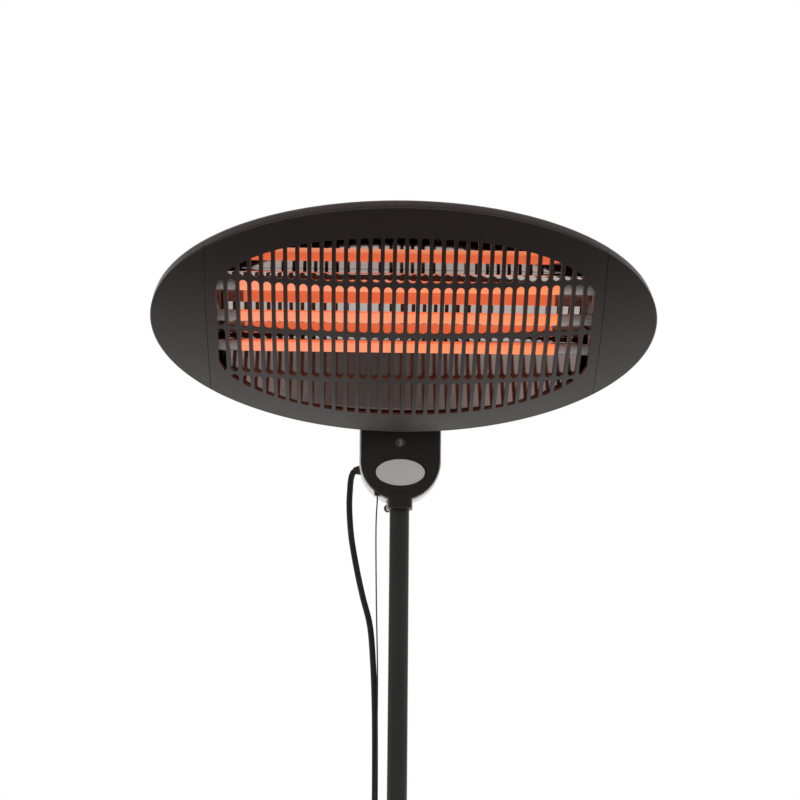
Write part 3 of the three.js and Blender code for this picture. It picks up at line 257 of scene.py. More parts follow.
FLOOR_REACH = 9.0
floor_mesh = bpy.data.meshes.new("studio_floor")
floor_mesh.from_pydata(
    [(-FLOOR_REACH, -FLOOR_REACH, 0), (FLOOR_REACH, -FLOOR_REACH, 0),
     (FLOOR_REACH, FLOOR_REACH, 0), (-FLOOR_REACH, FLOOR_REACH, 0)], [], [(0, 1, 2, 3)])
floor = in_scene("studio_floor", floor_mesh)
floor_paint = bpy.data.materials.new("floor_paint")
pale = Finish(floor_paint)
seen, reflected = pale.onlookers()
# In reflections the floor grows darker toward the front, and darkest along its middle.
from_front = pale.ramp(
    pale.spread(pale.place(1), 0.0, 1.0, -7.0, 1.0),
    (0.10, (0.16, 0.12, 0.11)), (0.50, (0.12, 0.095, 0.09)), (0.64, (0.15, 0.125, 0.12)),
    (0.70, (0.28, 0.25, 0.245)), (0.80, (0.58, 0.54, 0.53)), (0.90, (0.95, 0.92, 0.91)),
    (1.0, (1.0, 0.98, 0.97)))
aside = pale.spread(abs(pale.place(0)), 0.0, 1.0, 0.22, 0.7)
far_front = pale.mix(aside, (0.06, 0.048, 0.045), (0.27, 0.22, 0.21))
from_front = pale.mix(pale.spread(pale.place(1), 1.0, 0.0, -6.3, -4.2), from_front, far_front)
matt = pale.node("ShaderNodeBsdfDiffuse", None, {"Color": (0.9, 0.9, 0.9)})
glimmer = pale.node("ShaderNodeEmission", None, {"Color": from_front, "Strength": 1.0})
backdrop = pale.node("ShaderNodeEmission", None, {"Color": WHITE, "Strength": 1.0})
distance = pale.node("ShaderNodeVectorMath", {"operation": "LENGTH"}, {0: pale.place()}, 1)
away = pale.spread(distance, 0.0, 1.0, 0.8, 2.6)
lit = pale.node("ShaderNodeMixShader", None, {0: seen * away, 1: matt, 2: backdrop})
blended = pale.node("ShaderNodeMixShader", None, {0: reflected, 1: lit, 2: glimmer})
pale.node("ShaderNodeOutputMaterial", None, {"Surface": blended})
floor_mesh.materials.append(floor_paint)
floor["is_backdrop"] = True


def softbox(name, place, aim, size, watts):
    """A soft lamp at a place, turned to what it lights, and itself unseen in gloss."""
    data = bpy.data.lights.new(name, "AREA")
    data.shape = "RECTANGLE"
    data.size, data.size_y = size
    data.energy = watts
    lamp = in_scene(name, data)
    lamp.location = place
    lamp.rotation_euler = (Vector(aim) - Vector(place)).to_track_quat("-Z", "Y").to_euler()
    lamp.visible_glossy = False


softbox("lamp_overhead", (0.0, 0.4, 4.2), (0, 0, 1.0), (3.4, 3.4), 105)
softbox("lamp_left", (-3.0, -2.2, 2.6), (0, 0, 1.5), (1.6, 2.6), 42)
softbox("lamp_right", (3.0, -1.4, 2.2), (0, 0, 1.4), (1.2, 2.4), 30)


# ------------------------------------------------------------------ mains lead
# Rubber-sheathed flexible cable, 6.8 mm thick. It leaves an elbow gland on the left of the
# hub, hangs beside the pole, passes the eye of the clamp and two clips, crosses the base and
# ends in a tied coil behind it.

LEAD = 6.8
HUB_BOTTOM, HUB_RADIUS, HUB_TOP = 1627.0, 43.5, 1788.0
GLAND_Z = HUB_BOTTOM + 35.0
LEAD_START = Vector((-HUB_RADIUS - 5.0, 0, GLAND_Z - 0.2))
LEAD_DROP = Vector((-HUB_RADIUS - 11.9, 0, HUB_BOTTOM + 12.5))
EYE = Vector((-1, 1, 0)).normalized() * 26.9
CLIP = Vector((-1, 1, 0)).normalized() * 20.0
EYE_TOP, COLLAR_BOTTOM, COLLAR_TOP = 1150.0, 1085.0, 1160.0


def finish_material(name, base, roughness, metallic=0.0, constants=()):
    """A finish with its principled shader, ready for wires."""
    paint = Finish(bpy.data.materials.new(name))
    paint.surface = paint.node("ShaderNodeBsdfPrincipled").socket.node
    paint.surface.inputs["Base Color"].default_value = (*base, 1.0)
    paint.surface.inputs["Roughness"].default_value = roughness
    paint.surface.inputs["Metallic"].default_value = metallic
    for key, value in constants:
        paint.surface.inputs[key].default_value = value
    paint.node("ShaderNodeOutputMaterial", None, {
        "Surface": Wire(paint, paint.surface.outputs[0])})
    return paint


def feed(paint, **wires):
    """Joins wires to the sockets of a finish's shader, each under the socket's own name."""
    for key, wire in wires.items():
        paint.join(wire, paint.surface.inputs[key.replace("_", " ").title()])


def smooth(mesh, crease):
    """Shades a mesh smooth, apart from the edges that turn by more than the crease."""
    mesh.shade_smooth()
    if crease:
        mesh.set_sharp_from_angle(angle=math.radians(crease))


def piece(name, points, faces, finish, body, place=MILLIMETRES, crease=38, merge=0.0):
    """A mesh from points in millimetres, finished and riding on its body."""
    mesh = bpy.data.meshes.new(name)
    mesh.from_pydata([place @ Vector(p) for p in points], [], faces)
    work = bmesh.new()
    work.from_mesh(mesh)
    if merge:
        bmesh.ops.remove_doubles(work, verts=work.verts, dist=merge * MM)
    bmesh.ops.recalc_face_normals(work, faces=work.faces)
    work.to_mesh(mesh)
    work.free()
    mesh.materials.append(finish.owner)
    smooth(mesh, crease)
    made = in_scene(name, mesh)
    if body:
        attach(made, body)
    return made


def smooth_route(points, step=6.0):
    """Points along a centripetal Catmull-Rom curve through the given ones, in millimetres."""
    route = [Vector(p) for p in points]
    first = route[0] * 2 - route[1]
    last = route[-1] * 2 - route[-2]
    knots = [first, *route, last]
    result = [route[0]]
    for i in range(1, len(knots) - 2):
        p0, p1, p2, p3 = knots[i - 1:i + 3]
        t0 = 0.0
        t1 = t0 + math.sqrt((p1 - p0).length)
        t2 = t1 + math.sqrt((p2 - p1).length)
        t3 = t2 + math.sqrt((p3 - p2).length)
        count = max(2, round((p2 - p1).length / step))
        for j in range(1, count + 1):
            t = t1 + (t2 - t1) * j / count
            a1 = p0 * ((t1 - t) / (t1 - t0)) + p1 * ((t - t0) / (t1 - t0))
            a2 = p1 * ((t2 - t) / (t2 - t1)) + p2 * ((t - t1) / (t2 - t1))
            a3 = p2 * ((t3 - t) / (t3 - t2)) + p3 * ((t - t2) / (t3 - t2))
            b1 = a1 * ((t2 - t) / (t2 - t0)) + a2 * ((t - t0) / (t2 - t0))
            b2 = a2 * ((t3 - t) / (t3 - t1)) + a3 * ((t - t1) / (t3 - t1))
            result.append(b1 * ((t2 - t) / (t2 - t1)) + b2 * ((t - t1) / (t2 - t1)))
    return result


def bands(ring_count, sides):
    """Faces between rings of points, each ring closed on itself."""
    faces = []
    for r in range(ring_count - 1):
        for k in range(sides):
            n = (k + 1) % sides
            faces.append((r * sides + k, r * sides + n, (r + 1) * sides + n, (r + 1) * sides + k))
    return faces


def hose(route, radii, sides=18):
    """Points and faces of a round tube along a route, its frame carried along without twist."""
    points = []
    across = Vector((0, 1, 0))
    for i, centre in enumerate(route):
        tangent = (route[min(i + 1, len(route) - 1)] - route[max(i - 1, 0)]).normalized()
        across = (across - tangent * across.dot(tangent)).normalized()
        other = tangent.cross(across)
        radius = radii(i / (len(route) - 1)) if callable(radii) else radii
        for k in range(sides):
            angle = 2 * math.pi * k / sides
            points.append(centre + across * radius * math.cos(angle)
                          + other * radius * math.sin(angle))
    faces = bands(len(route), sides)
    faces.append(tuple(reversed(range(sides))))
    faces.append(tuple(range((len(route) - 1) * sides, len(route) * sides)))
    return points, faces


def route_length(route):
    """Length of a route, in metres."""
    return sum((b - a).length for a, b in zip(route, route[1:])) * MM


def in_metres(route):
    """A route's points, from millimetres to metres."""
    return [tuple(p * MM) for p in route]


sheath = finish_material("rubber_sheath", (0.012, 0.011, 0.011), 0.5)
grain = sheath.noise(900, 4)
feed(sheath,
     base_color=sheath.ramp(sheath.noise(60, 2), (0.3, (0.009, 0.0085, 0.0085)),
                            (0.75, (0.016, 0.0145, 0.0145))),
     roughness=sheath.spread(grain, 0.42, 0.6, 0.3, 0.7),
     normal=sheath.bump(grain, 0.00012, 0.5))

# The upper stretch bows out of the gland and hangs in beside the pole, down to the eye.
upper_route = smooth_route([
    LEAD_START, (LEAD_START.x - 3.6, 0, GLAND_Z - 2.6),
    (LEAD_DROP.x + 1.0, 0, GLAND_Z - 9.5), LEAD_DROP,
    *[(x, y, LEAD_DROP.z - fall) for x, y, fall in (
        (-55.9, 0, 16.5), (-53.5, 1, 49.5), (-47.5, 2, 83.5), (-40, 4, 116.5),
        (-31.5, 5, 148.5), (-27.4, 6.5, 189.5), (-25, 8, 239.5), (-24, 9.5, 299.5),
        (-23.6, 10.7, 359.5))],
    (-23.2, 12, EYE_TOP + 88), (EYE.x, EYE.y, EYE_TOP + 22), (EYE.x, EYE.y, EYE_TOP)], 4.0)
lead_upper = piece("lead_upper", *hose(upper_route, LEAD / 2), sheath, None, crease=60)
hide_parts("mains_lead_upper")

BASE_RADIUS, BASE_SHOULDER, BASE_TOP = 240.0, 25.5, 41.0


def cover_top(radius):
    """Height of the outside of the base cover at a distance from the pole."""
    share = min(1.0, max(0.0, (BASE_RADIUS - 14 - radius) / (BASE_RADIUS - 14 - 64)))
    return BASE_SHOULDER + (BASE_TOP - BASE_SHOULDER) * (1 - (1 - share) ** 1.6)


def on_cover(radius):
    """Height of the lead's middle where it lies on the cover."""
    return cover_top(radius) + LEAD / 2 + 0.5


COIL_X, COIL_Y, COIL_RADIUS = 74.0, 305.0, 38.5
COIL_SPACING, COIL_INWARD, COIL_LIFT = 8.2, 1.75, 1.5
COIL_OUTER = COIL_RADIUS + COIL_INWARD * COIL_SPACING / 2
COIL_FAR = COIL_Y + COIL_OUTER
COIL_BOTTOM = COIL_LIFT + LEAD / 2
ON_FLOOR = LEAD / 2 + 0.1
PLUG_START, PLUG_Z = COIL_X + 62, 18.7

# The lower stretch goes down through the clips, over the base and along the floor.
lower_points = [
    (EYE.x, EYE.y, EYE_TOP - 0.3), (EYE.x, EYE.y, EYE_TOP - 36), (EYE.x, EYE.y, COLLAR_BOTTOM + 7),
    (CLIP.x - 1.6, CLIP.y + 1.6, COLLAR_BOTTOM - 25), (CLIP.x, CLIP.y, 1000),
    (CLIP.x, CLIP.y, 900), (CLIP.x, CLIP.y, 860), (CLIP.x - 1, CLIP.y + 1, 700),
    (CLIP.x - 1, CLIP.y + 1, 450), (CLIP.x, CLIP.y, 300), (CLIP.x, CLIP.y, 270),
    (CLIP.x, CLIP.y, 240), (-17, 20, 160), (-20, 29, 118), (-25, 44, 84), (-30, 66, 60),
    (-34, 86, 49), (-37, 110, on_cover(116) + 0.6), (-40, 140, on_cover(146)),
    (-42, 190, on_cover(194)), (-42, 222, on_cover(226) + 0.6), (-40, 243, 26),
    (-37, 259, 16), (-32, 277, 7.5), (-24, 298, ON_FLOOR + 0.4), (-10, 322, ON_FLOOR),
    (12, 340, ON_FLOOR), (38, COIL_FAR - 1, ON_FLOOR + 0.6), (COIL_X - 20, COIL_FAR, COIL_BOTTOM),
    (COIL_X - LEAD, COIL_FAR, COIL_BOTTOM)]
# The coil winds inward on the floor, climbs in half a turn and winds outward on itself.
coil_turns = 2 * COIL_INWARD + 0.5
STEPS_IN_A_TURN = 24
coil_steps = round(coil_turns * STEPS_IN_A_TURN)
for i in range(coil_steps + 1):
    turned = coil_turns * i / coil_steps
    inward = min(turned, COIL_INWARD)
    outward = max(0.0, turned - COIL_INWARD - 0.5)
    climb = min(1.0, max(0.0, (turned - COIL_INWARD) / 0.5))
    radius = COIL_OUTER - COIL_SPACING * (inward - outward)
    angle = math.pi / 2 - 2 * math.pi * turned
    lower_points.append((COIL_X + radius * math.cos(angle), COIL_Y + radius * math.sin(angle),
                         COIL_BOTTOM + COIL_SPACING * climb))
lower_points += [
    (COIL_X + 14, COIL_FAR, COIL_BOTTOM + COIL_SPACING),
    (COIL_X + 34, COIL_FAR, COIL_BOTTOM + COIL_SPACING + 1.6),
    (PLUG_START - 10, COIL_FAR, PLUG_Z), (PLUG_START - 0.3, COIL_FAR, PLUG_Z)]
lower_route = smooth_route(lower_points)
lead_lower = piece("lead_lower", *hose(lower_route, LEAD / 2), sheath, "root", crease=60)
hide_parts("mains_lead_lower", "mains_coil")


# ------------------------------------------------------------------ elbow gland
# A short moulded strain relief holds the lead as it leaves the hub, and the lead bends down
# from it under its own weight.

GLAND_RADIUS, GLAND_TAPER, GLAND_GROOVE = 5.4, 1.6, 0.4


def ribbed(share):
    """Radius of the gland along its length: it tapers, and grooves run round its middle."""
    taper = GLAND_RADIUS - GLAND_TAPER * max(0.0, (share - 0.55) / 0.45)
    return taper - (GLAND_GROOVE if 0.3 < share < 0.9 and math.sin(share * 44) > 0.3 else 0.0)


gland_route = smooth_route([
    (-HUB_RADIUS + 5, 0, GLAND_Z), (-HUB_RADIUS - 1.5, 0, GLAND_Z),
    (LEAD_START.x, 0, GLAND_Z - 0.2), (LEAD_START.x - 2.4, 0, GLAND_Z - 1.5)], 0.5)
soft_rubber = finish_material("gland_rubber", (0.018, 0.016, 0.016), 0.55)
feed(soft_rubber, roughness=soft_rubber.spread(soft_rubber.noise(400), 0.48, 0.66, 0.3, 0.7),
     normal=soft_rubber.bump(soft_rubber.noise(1500), 0.0001, 0.4))
gland = piece("elbow_gland", *hose(gland_route, ribbed, 28), soft_rubber, "mast", crease=50)
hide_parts("cable_gland")


# ------------------------------------------------------------------ tie and plug
# A nylon strap holds the coil. The lead ends in a plug moulded round it, with a ribbed sleeve,
# a waist to grip it by and two bright pins.


def soften(profile, radius, steps=4):
    """A profile with its corners rounded, each by no more than its sides allow."""
    closed = profile[0] == profile[-1]
    core = profile[:-1] if closed else profile
    count = len(core)
    result = []
    for i, corner in enumerate(core):
        here = Vector(corner)
        if not closed and i in (0, count - 1):
            result.append(tuple(here))
            continue
        before, after = Vector(core[i - 1]), Vector(core[(i + 1) % count])
        into, out = (before - here), (after - here)
        if into.length < 1e-6 or out.length < 1e-6:
            continue
        if into.angle(out) > math.radians(160):
            result.append(tuple(here))
            continue
        reach = min(radius, into.length * 0.45, out.length * 0.45)
        start, end = here + into.normalized() * reach, here + out.normalized() * reach
        for j in range(steps + 1):
            t = j / steps
            spot = start * (1 - t) ** 2 + here * 2 * t * (1 - t) + end * t ** 2
            result.append(tuple(spot))
    return result + [result[0]] if closed else result


def turned_form(profile, radius=0.6, sides=72, shape=None):
    """Points and faces of a turned piece about Z from [radius, height] pairs."""
    outline = soften([tuple(p) for p in profile], radius)
    closed = outline[0] == outline[-1]
    if closed:
        outline = outline[:-1]
    points, faces, rings = [], [], []
    for r, z in outline:
        if r < 1e-6:
            rings.append([len(points)] * sides)
            points.append((0.0, 0.0, z))
            continue
        ring = []
        for k in range(sides):
            angle = 2 * math.pi * k / sides
            reach = shape(r, z, angle) if shape else r
            ring.append(len(points))
            points.append((reach * math.cos(angle), reach * math.sin(angle), z))
        rings.append(ring)
    pairs = list(zip(rings, rings[1:])) + ([(rings[-1], rings[0])] if closed else [])
    for lower, upper in pairs:
        for k in range(sides):
            n = (k + 1) % sides
            face = []
            for index in (lower[k], lower[n], upper[n], upper[k]):
                if index not in face:
                    face.append(index)
            if len(face) > 2:
                faces.append(tuple(face))
    return points, faces


ALONG_X = Matrix.Rotation(math.radians(90), 4, "Y")
ALONG_Y = Matrix.Rotation(math.radians(-90), 4, "X")


def put(x=0.0, y=0.0, z=0.0, turn=Matrix.Identity(4)):
    """Where a form goes: its place in millimetres, and how it is turned there."""
    return MILLIMETRES @ Matrix.Translation((x, y, z)) @ turn


def pipe(bore, radius, low, high):
    """The profile of a plain pipe, for turning."""
    return [(bore, low), (radius, low), (radius, high), (bore, high), (bore, low)]


def coat(mesh, finish):
    """Gives a mesh this finish in place of the one that it has."""
    mesh.materials.clear()
    mesh.materials.append(finish.owner)


plug_rubber = finish_material("plug_rubber", (0.02, 0.018, 0.018), 0.5)
feed(plug_rubber, roughness=plug_rubber.spread(plug_rubber.noise(300), 0.42, 0.6, 0.3, 0.7),
     normal=plug_rubber.bump(plug_rubber.noise(1800), 0.00008, 0.4))
pin_metal = finish_material("pin_metal", (0.72, 0.70, 0.66), 0.25, 1.0)
feed(pin_metal, roughness=pin_metal.spread(pin_metal.noise(700), 0.18, 0.34, 0.3, 0.7))
SLEEVE, PLUG_BODY, PLUG_RADIUS = 30.0, 36.0, 18.5
PLUG_FACE = SLEEVE + PLUG_BODY
SLEEVE_RIBS, RIB_PITCH = 7, 3.6
PIN_RADIUS, PIN_LENGTH, PIN_ASIDE = 2.4, 19.0, 9.5
SIDES = ((-1, "left"), (1, "right"))


def plug_grip(radius, z, angle):
    """The plug's radius, with a waist hollowed in its two sides for finger and thumb."""
    waist = 1.0 - 0.12 * abs(math.sin(angle)) ** 3 if SLEEVE + 2 < z < SLEEVE + 24 else 1.0
    return radius * waist


plug_profile = [(0, 0), (LEAD / 2 + 0.8, 0)]
for i in range(SLEEVE_RIBS):
    z = 4 + i * RIB_PITCH
    reach = LEAD / 2 + 0.9 + 1.7 * z / SLEEVE
    plug_profile += [
        (reach, z), (reach - 0.7, z + 0.5), (reach - 0.7, z + 1.6), (reach + 0.1, z + 2.1)]
plug_profile += [
    (PLUG_RADIUS * 0.62, SLEEVE + 6), (PLUG_RADIUS * 0.92, SLEEVE + 16),
    (PLUG_RADIUS, SLEEVE + 24), (PLUG_RADIUS, PLUG_FACE - 1.5), (PLUG_RADIUS - 1.5, PLUG_FACE),
    (0, PLUG_FACE)]
plug_place = put(PLUG_START, COIL_FAR, PLUG_Z, ALONG_X)
plug = piece("plug_body", *turned_form(plug_profile, 0.5, 64, plug_grip), plug_rubber, "root",
             plug_place)
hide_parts("mains_plug")
pin_profile = [
    (0, PLUG_FACE - 1), (PIN_RADIUS, PLUG_FACE - 1), (PIN_RADIUS, PLUG_FACE + PIN_LENGTH - 1.5),
    (PIN_RADIUS - 1.1, PLUG_FACE + PIN_LENGTH), (0, PLUG_FACE + PIN_LENGTH)]
for side, word in SIDES:
    pin = piece(f"plug_pin_{word}", *turned_form(pin_profile, 0.4, 28), pin_metal,
                "root", plug_place @ Matrix.Translation((0, side * PIN_ASIDE, 0)))

strap_nylon = finish_material("strap_nylon", (0.02, 0.019, 0.019), 0.6)
ribs = strap_nylon.node("ShaderNodeTexWave", {"bands_direction": "Y"}, {
    "Vector": strap_nylon.place(), "Scale": 260.0, "Distortion": 0.4})
feed(strap_nylon, normal=strap_nylon.bump(ribs, 0.0002, 0.6))
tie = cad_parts["coil_tie"]
coat(tie.data, strap_nylon)

# The upper lead's mesh takes on its place; the ends, lengths and points of the leads are worked out
# and not kept.
tuple(upper_route[3] * MM)
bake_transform(lead_upper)
route_length(upper_route)
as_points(in_metres(upper_route))
tuple(lower_route[0] * MM)
route_length(lower_route)
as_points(in_metres(lower_route))


# ------------------------------------------------------------------ pull cord
# A thin braided cord hangs from the plunger of the pull switch and steps the heat level. It
# leaves the hub through a small bush and ends in a turned bell.

STRING_X, STRING_Y, STRING, STRING_LENGTH = -25.0, -17.0, 1.6, 420.0
STRING_TOP = HUB_BOTTOM + 29 - 0.3
STRING_BOTTOM = STRING_TOP - STRING_LENGTH
hub_floor = HUB_BOTTOM + HUB_RADIUS
GUIDE_BOTTOM = hub_floor - math.sqrt(HUB_RADIUS ** 2 - STRING_X ** 2) - 3

string_route = smooth_route([
    (STRING_X, STRING_Y, STRING_TOP), (STRING_X, STRING_Y, GUIDE_BOTTOM - 4),
    (STRING_X - 1, STRING_Y, GUIDE_BOTTOM - 30), (STRING_X + 0.1, STRING_Y, GUIDE_BOTTOM - 110),
    (STRING_X + 2.4, STRING_Y, GUIDE_BOTTOM - 200),
    (STRING_X + 1.6, STRING_Y, STRING_BOTTOM + 60),
    (STRING_X, STRING_Y, STRING_BOTTOM)], 3.0)
braid = finish_material("braided_cord", (0.02, 0.018, 0.018), 0.75)
twist = braid.node("ShaderNodeTexWave", {"bands_direction": "DIAGONAL"}, {
    "Vector": braid.place(), "Scale": 420.0, "Distortion": 1.0})
feed(braid, base_color=braid.ramp(twist, (0.2, (0.012, 0.011, 0.011)), (0.8, (0.035, 0.03, 0.03))),
     normal=braid.bump(twist, 0.0002, 0.8))
pull_cord = piece("pull_cord", *hose(string_route, STRING / 2, 10), braid, "pull", crease=60)
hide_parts("pull_string")


# A satin black moulding: the handle, the knobs and the hub share it.
moulded = finish_material("moulded_black", (0.0175, 0.0118, 0.0116), 0.42)
speckle = moulded.noise(2200, 2)
feed(moulded,
     base_color=moulded.ramp(moulded.noise(14, 3), (0.3, (0.0162, 0.0108, 0.0106)),
                             (0.75, (0.0192, 0.013, 0.0128))),
     roughness=moulded.spread(moulded.noise(90, 4), 0.36, 0.5, 0.3, 0.7),
     normal=moulded.bump(speckle, 0.00008, 0.5))
top = STRING_BOTTOM - 0.3
bell = piece("pull_bell", *turned_form([
    (0, top - 30), (4.5, top - 30), (5.6, top - 29.2), (7, top - 27), (6.8, top - 22),
    (6.3, top - 17), (4.6, top - 11), (3.4, top - 7.5), (2.5, top - 4), (2.3, top - 1),
    (1.7, top), (0, top)], 0.6, 48),
    moulded, "pull", put(STRING_X, STRING_Y, 0))
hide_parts("pull_handle")
tuple(string_route[0] * MM)
route_length(string_route)
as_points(in_metres(string_route))

guide = piece("string_bush", *turned_form(
    pipe(1.3, 3.4, GUIDE_BOTTOM, GUIDE_BOTTOM + 9), 0.7, 32), moulded, "mast",
    put(STRING_X, STRING_Y, 0))
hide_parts("string_guide")


# ------------------------------------------------------------------ base
# A pressed steel cover, powder coated black, lies over a cast ballast disc. The disc stands on
# four rubber feet, each held by a screw.

BASE_WALL, SKIRT_BOTTOM, BASE_RIM = 2.0, 5.0, 15.0
powder = finish_material("powder_coat", (0.021, 0.018, 0.0175), 0.36)
orange_peel = powder.noise(1100, 2)
feed(powder,
     base_color=powder.ramp(powder.noise(5, 3), (0.3, (0.019, 0.016, 0.0155)),
                            (0.75, (0.025, 0.0215, 0.021))),
     roughness=powder.spread(powder.noise(55, 4), 0.31, 0.43, 0.3, 0.7),
     normal=powder.bump(orange_peel, 0.00007, 0.45))
top_side = [(r, cover_top(r)) for r in (226, 212, 198, 182, 165, 148, 130, 112, 95, 78, 64)]
under_side = [(r - 0.6, z - BASE_WALL) for r, z in reversed(top_side)]
cover = piece("base_shell", *turned_form([
    (BASE_RADIUS - BASE_WALL, SKIRT_BOTTOM), (BASE_RADIUS, SKIRT_BOTTOM), (BASE_RADIUS, BASE_RIM),
    (BASE_RADIUS - 4, BASE_RIM + 6), *top_side, (6.4, BASE_TOP), (6.4, BASE_TOP - BASE_WALL),
    *under_side,
    (BASE_RADIUS - 6, BASE_RIM + 4), (BASE_RADIUS - BASE_WALL, BASE_RIM - 1),
    (BASE_RADIUS - BASE_WALL, SKIRT_BOTTOM)], 3.0, 144), powder, "root", crease=50)
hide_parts("base_cover")

ballast = finish_material("cast_ballast", (0.36, 0.35, 0.33), 0.85)
pores = ballast.noise(160, 6)
feed(ballast,
     base_color=ballast.ramp(pores, (0.35, (0.26, 0.25, 0.235)), (0.7, (0.42, 0.41, 0.385))),
     normal=ballast.bump(pores, 0.0008, 0.8))
foot_rubber = finish_material("foot_rubber", (0.014, 0.013, 0.013), 0.8)
feed(foot_rubber, normal=foot_rubber.bump(foot_rubber.noise(700), 0.0001, 0.6))


def as_mesh(made):
    """A plain mesh of an object as its modifiers leave it."""
    bpy.context.view_layer.update()
    graph = bpy.context.evaluated_depsgraph_get()
    return bpy.data.meshes.new_from_object(made.evaluated_get(graph))


CUT_CREASE = 32


class Growth(Finish):
    """A geometry tree with a named input for each size of the pieces that it repeats."""

    def __init__(self, name, **inputs):
        self.tree = bpy.data.node_groups.new(name, "GeometryNodeTree")
        self.keys = {
            key: self.tree.interface.new_socket(key, in_out="INPUT", socket_type=kind).identifier
            for key, kind in inputs.items()}
        self.tree.interface.new_socket("shape", in_out="OUTPUT", socket_type="NodeSocketGeometry")
        self.entry = self.tree.nodes.new("NodeGroupInput")

    def given(self, key):
        return Wire(self, self.entry.outputs[key])

    def finished(self, shape):
        """Closes the tree: instances made real, then the finish given."""
        real = self.node("GeometryNodeRealizeInstances", None, {"Geometry": shape})
        coated = self.node("GeometryNodeSetMaterial", None, {
            "Geometry": real, "Material": self.given("finish")})
        self.node("NodeGroupOutput", None, {0: coated})

    def grown(self, name, body, **sizes):
        """A plain mesh that the tree makes with these sizes, riding on its body."""
        made = in_scene(name, bpy.data.meshes.new(name))
        growing = made.modifiers.new("growing", "NODES")
        growing.node_group = self.tree
        for key, value in sizes.items():
            growing[self.keys[key]] = value
        made.data = as_mesh(made)
        made.modifiers.remove(growing)
        smooth(made.data, CUT_CREASE)
        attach(made, body)
        return made


LENGTH = "NodeSocketFloat"
rings = Growth(
    "rings_on_a_circle", count="NodeSocketInt", spread=LENGTH, bore=LENGTH, radius=LENGTH,
    height=LENGTH, lift=LENGTH, rounding=LENGTH, finish="NodeSocketMaterial")
wall_width = rings.given("radius") - rings.given("bore")
section = rings.node("GeometryNodeCurvePrimitiveQuadrilateral", None, {
    "Width": wall_width, "Height": rings.given("height")})
section = rings.node("GeometryNodeFilletCurve", {"mode": "POLY"}, {
    "Curve": section, "Count": 4, "Radius": rings.given("rounding"), "Limit Radius": True})
path = rings.node("GeometryNodeCurvePrimitiveCircle", None, {
    "Resolution": 48, "Radius": (rings.given("radius") + rings.given("bore")) / 2})
ring = rings.node("GeometryNodeCurveToMesh", None, {"Curve": path, "Profile Curve": section})
places = rings.node("GeometryNodeMeshCircle", None, {
    "Vertices": rings.given("count"), "Radius": rings.given("spread")})
raised = rings.node("ShaderNodeCombineXYZ", None, {
    2: rings.given("lift") + rings.given("height") / 2})
places = rings.node("GeometryNodeTransform", None, {
    "Geometry": places, "Translation": raised, "Rotation": (0.0, 0.0, math.radians(45))})
rings.finished(rings.node("GeometryNodeInstanceOnPoints", None, {
    "Points": places, "Instance": ring}))

FEET, FOOT_CIRCLE = 4, 185 * MM
feet = rings.grown("feet", "root", count=FEET, spread=FOOT_CIRCLE, bore=3.2 * MM, radius=18 * MM,
                   height=6 * MM, lift=0.0, rounding=1.4 * MM, finish=foot_rubber.owner)
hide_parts(*(f"rubber_foot_{i + 1}" for i in range(FEET)))


# ------------------------------------------------------------------ socket and outer tubes
# The pole stands in a moulded socket that is bolted through the base. It is two lengths of
# glossy black steel tube, 30 mm thick, which meet on a sleeve inside.

SOCKET_BOTTOM = BASE_TOP + 0.3
OUTER_BORE, OUTER_RADIUS, SLIP = 13.5, 15.0, 0.3
OVER_TUBE = OUTER_RADIUS + SLIP
socket = piece("foot_socket", *turned_form([
    (6.2, SOCKET_BOTTOM), (60, SOCKET_BOTTOM), (60, SOCKET_BOTTOM + 3), (58, SOCKET_BOTTOM + 5),
    (42, SOCKET_BOTTOM + 5.6), (30, SOCKET_BOTTOM + 6.2), (25.4, SOCKET_BOTTOM + 9),
    (24, SOCKET_BOTTOM + 14), (20, SOCKET_BOTTOM + 56), (18, SOCKET_BOTTOM + 59),
    (OVER_TUBE, SOCKET_BOTTOM + 59), (OVER_TUBE, SOCKET_BOTTOM + 9), (6.2, SOCKET_BOTTOM + 9),
    (6.2, SOCKET_BOTTOM)], 1.8, 96), moulded, "root")
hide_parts("pole_socket")

gloss = finish_material("gloss_black", (0.030, 0.026, 0.027), 0.16,
                        constants=[("Specular IOR Level", 0.3)])
feed(gloss,
     base_color=gloss.ramp(gloss.noise(9, 2), (0.3, (0.027, 0.0235, 0.0242)),
                           (0.75, (0.033, 0.029, 0.0298))),
     roughness=gloss.spread(gloss.noise(120, 4), 0.13, 0.22, 0.3, 0.7),
     normal=gloss.bump(gloss.noise(700, 2), 0.00003, 0.4))
TUBE_FOOT, TUBE_JOINT, TUBE_TOP = SOCKET_BOTTOM + 9.3, 600.0, 1130.0
for name, node, low, high in (
        ("outer_tube_low", "lower_tube", TUBE_FOOT, TUBE_JOINT - SLIP / 2),
        ("outer_tube_high", "middle_tube", TUBE_JOINT + SLIP / 2, TUBE_TOP)):
    tube = piece(name, *turned_form(
        pipe(OUTER_BORE, OUTER_RADIUS, low, high), 0.5, 72), gloss, "root")
    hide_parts(node)


# ------------------------------------------------------------------ height clamp
# A moulded collar caps the outer tube. A lobed knob presses the inner tube through its boss,
# and an eye at the back of the collar guides the lead.


LOBES, LOBE_DEPTH = 6, 0.1


def lobes(radius, z, angle):
    """A knob's radius at an angle, rising and falling round its rim."""
    return radius * (1 - LOBE_DEPTH + LOBE_DEPTH * math.cos(LOBES * angle))


